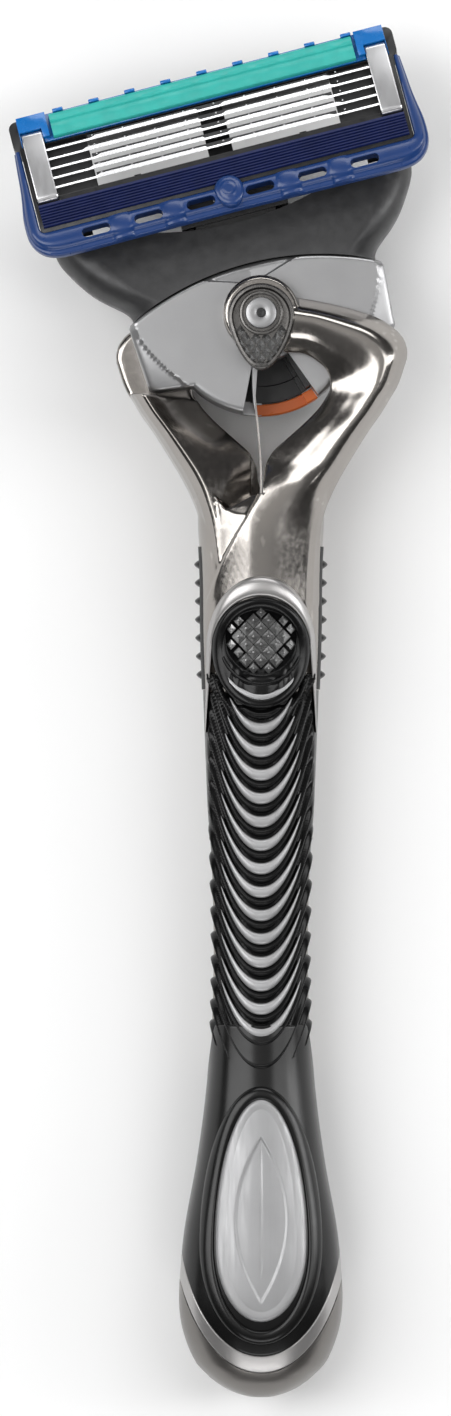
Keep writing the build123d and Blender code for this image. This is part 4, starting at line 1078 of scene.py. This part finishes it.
def build_blades():
    """Each blade is a bright strip, welded to a bent support that stops short of the ends; the support's
    steel is painted dark, as painted shade between the blades.
    """
    for index in range(5):
        v = BLADE_V + BLADE_PITCH * index
        body = f"blade_{index + 1}"

        def blade_line(x):
            ends = smoothstep(12.2, 12.9, abs(x) + 0.6 * sin(3.7 * index + (1 if x > 0 else 0)))
            centre = 1 - smoothstep(1.25, 1.35, abs(x - 0.2))
            back = v + 0.12 - 0.2 * max(ends, centre)
            return [(v - 0.3, 3.2), (back, 3.16), (back, 3.08), (v - 0.28, 3.1)]

        xs = np.linspace(-17.1, 17.1, 150)
        blade = sweep_x(f"blade_strip_{index + 1}", blade_line, xs, "blade_steel", body)
        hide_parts(f"blade_{index + 1}")
        line = [(v - 0.1, 3.02), (v + 0.34, 3.0), (v + 0.42, 2.85), (v + 0.42, 1.9), (v + 0.3, 1.9)]
        line += [(v + 0.3, 2.7), (v - 0.1, 2.88)]
        # The supports get the darkened steel, which is painted shade between the blades.
        xs, look = np.linspace(-12.6, 12.6, 80), "blade_steel_painted_shade"
        support = sweep_x(f"support_{index + 1}", lambda x: line, xs, "blade_steel", body, look)
        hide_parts(f"blade_support_{index + 1}")
        verts, faces = [], []
        for weld in range(-4, 5):
            faces += tube_faces(3, 10, len(verts))
            for radius, up in ((0.1, -0.02), (0.085, 0.012), (0.045, 0.022)):
                for x, y, z in disc_ring(radius, 3.02 + up, 10):
                    verts.append((3.2 * weld + 0.7 + x, v + 0.24 + y, z))
        make_object(f"welds_{index + 1}", verts, faces, "blade_steel", body)


def build_webs():
    """The housing's dark shelves behind the blades' ends."""
    for side, name in ((1, "web_right"), (-1, "web_left")):
        line = [(2.1, 1.3), (2.1, 1.76), (2.2, 1.84), (4.8, 1.8), (7.4, 1.84), (7.5, 1.76), (7.5, 1.3)]
        sweep_x(name, lambda x: line, np.linspace(side * 12.75, side * 17.15, 14)[::side], "black_plastic")


def cut_box(low, high, finish):
    """A box of the cartridge's frame, to cut with."""
    corners = [(low[0], low[1]), (high[0], low[1]), (high[0], high[1]), (low[0], high[1])]
    verts = [(x, v, w) for w in (low[2], high[2]) for x, v in corners]
    return make_object("cut", verts, tube_faces(2, 4), finish, "cartridge", smooth=False)


def soft_copy(node, finish, width, cuts=(), look=None):
    """A piece of the cartridge with its edges rounded and with boxes (low, high) taken out."""
    source = frame["nodes"][node]
    mesh = bmesh.new()
    mesh.from_mesh(source.data)
    mesh.transform(source.matrix_world)
    bmesh.ops.remove_doubles(mesh, verts=mesh.verts, dist=2e-6)
    bmesh.ops.dissolve_limit(mesh, angle_limit=radians(1), verts=mesh.verts, edges=mesh.edges)
    data = bpy.data.meshes.new(f"{node}_soft")
    mesh.to_mesh(data)
    mesh.free()
    copy = link_mesh(f"{node}_soft", data, FINISH[look or finish])
    cut_away(copy, [cut_box(low, high, finish) for low, high in cuts])
    modify(copy, "BEVEL", width=width * MM, segments=2, limit_method="ANGLE", angle_limit=radians(35))
    apply_modifiers(copy)
    smooth_by_angle(copy, 30)
    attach(copy, "cartridge")
    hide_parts(node)


# ---------- the springs
LEAF_FOOT_Y = -0.0135


def blend_spring():
    """A copy of the leaf with its own finish, cut across at steps near its foot; one end is held by the
    handle, the other rides in the pod.
    """
    leaf = frame["nodes"]["tail_spring"]
    copy = link_mesh("leaf", leaf.data.copy(), FINISH["spring_steel"])
    mesh = bmesh.new()
    mesh.from_mesh(copy.data)
    bmesh.ops.remove_doubles(mesh, verts=mesh.verts, dist=1e-6)
    for y in np.linspace(LEAF_FOOT_Y, 0.0, 14):
        everything = mesh.verts[:] + mesh.edges[:] + mesh.faces[:]
        bmesh.ops.bisect_plane(mesh, geom=everything, plane_co=(0, y, 0), plane_no=(0, 1, 0))
    mesh.to_mesh(copy.data)
    mesh.free()
    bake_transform(copy)
    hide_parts("tail_spring")


def blend_plunger_spring():
    """A copy of the coil with its own finish; the coil is held by the pod's bore at one end and rides on the
    plunger's shoulder at the other.
    """
    spring = frame["nodes"]["plunger_spring"]
    copy = link_mesh("plunger_coil", spring.data.copy(), FINISH["spring_steel"])
    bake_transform(copy)
    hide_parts("plunger_spring")


# ---------- finishes of the kept CAD nodes
def finish_nodes():
    for part in frame["record"]["subparts"]:
        node = frame["nodes"][part["node"]]
        node.data.materials.clear()
        node.data.materials.append(FINISH[part["material_slot"]])


# ---------- stage
def build_stage():
    mesh = bpy.data.meshes.new("floor")
    mesh.from_pydata([(-1.5, -1.5, 0), (1.5, -1.5, 0), (1.5, 1.5, 0), (-1.5, 1.5, 0)], [], [(0, 1, 2, 3)])
    material, tree, shader = new_material("floor")
    set_inputs(shader, Base_Color=(0.93, 0.93, 0.93, 1), Roughness=0.9)
    noise = tree.nodes.new("ShaderNodeTexNoise")
    set_inputs(noise, Scale=900)
    bump = tree.nodes.new("ShaderNodeBump")
    set_inputs(bump, Distance=0.01 * MM)
    tree.links.new(noise.outputs["Fac"], bump.inputs["Height"])
    tree.links.new(bump.outputs["Normal"], shader.inputs["Normal"])
    floor = link_mesh("floor", mesh, material)
    floor.location.z = -0.0004


def area_light(name, place, size, power):
    data = bpy.data.lights.new(name, "AREA")
    data.shape = "RECTANGLE"
    data.size, data.size_y = size
    data.energy = power
    obj = link(name, data)
    obj.location = place
    obj.rotation_euler = (Vector(LIGHT_AIM) - Vector(place)).to_track_quat("-Z", "Y").to_euler()


def light():
    """A dark room with a bright ceiling and tall soft boxes, so that polished faces show both."""
    world = bpy.data.worlds.new("room")
    world.use_nodes = True
    tree = world.node_tree
    place = tree.nodes.new("ShaderNodeTexCoord")
    split = tree.nodes.new("ShaderNodeSeparateXYZ")
    ramp = tree.nodes.new("ShaderNodeValToRGB")
    stops = ramp.color_ramp.elements
    stops[0].color = (0.10, 0.10, 0.10, 1)
    stops[1].color = (0.62, 0.61, 0.6, 1)
    for position, value in ((0.55, 0.07), (0.9, 0.2), (0.97, 0.5)):
        stops.new(position).color = (value, value, value, 1)
    tree.links.new(place.outputs["Generated"], split.inputs["Vector"])
    tree.links.new(split.outputs["Z"], ramp.inputs["Fac"])
    tree.links.new(ramp.outputs["Color"], tree.nodes["Background"].inputs["Color"])
    bpy.context.scene.world = world
    bpy.context.scene.view_settings.view_transform = "Standard"
    area_light("key", (-0.5, 0.05, 0.62), (0.4, 0.9), 4.6)
    area_light("fill", (0.55, 0.0, 0.5), (0.22, 0.9), 2.2)
    area_light("head", (0.1, 0.62, 0.5), (0.7, 0.25), 2.2)
    area_light("foot", (0.0, -0.75, 0.45), (0.6, 0.2), 1.4)
    area_light("low", (0.75, 0.05, 0.16), (0.16, 0.8), 1.5)


finish_nodes()
build_yoke()
build_thumb()
build_side_grips()
build_grip()
build_bands()
build_badge()
build_base()
build_cap()
build_shell()
build_window()
build_guard()
build_fins()
build_strip()
build_clips()
build_blades()
build_webs()
soft_copy("housing", "black_plastic", 0.1, [((x - 0.5, 2.5, 0.2), (x + 0.5, 7.6, 2.2)) for x in SIDE_BRIDGES])
soft_copy("strip_tray", "cap_blue", 0.12)
soft_copy("strip_tabs", "fin_blue", 0.1, look="cap_blue")
blend_spring()
blend_plunger_spring()
build_stage()
light()
camera()
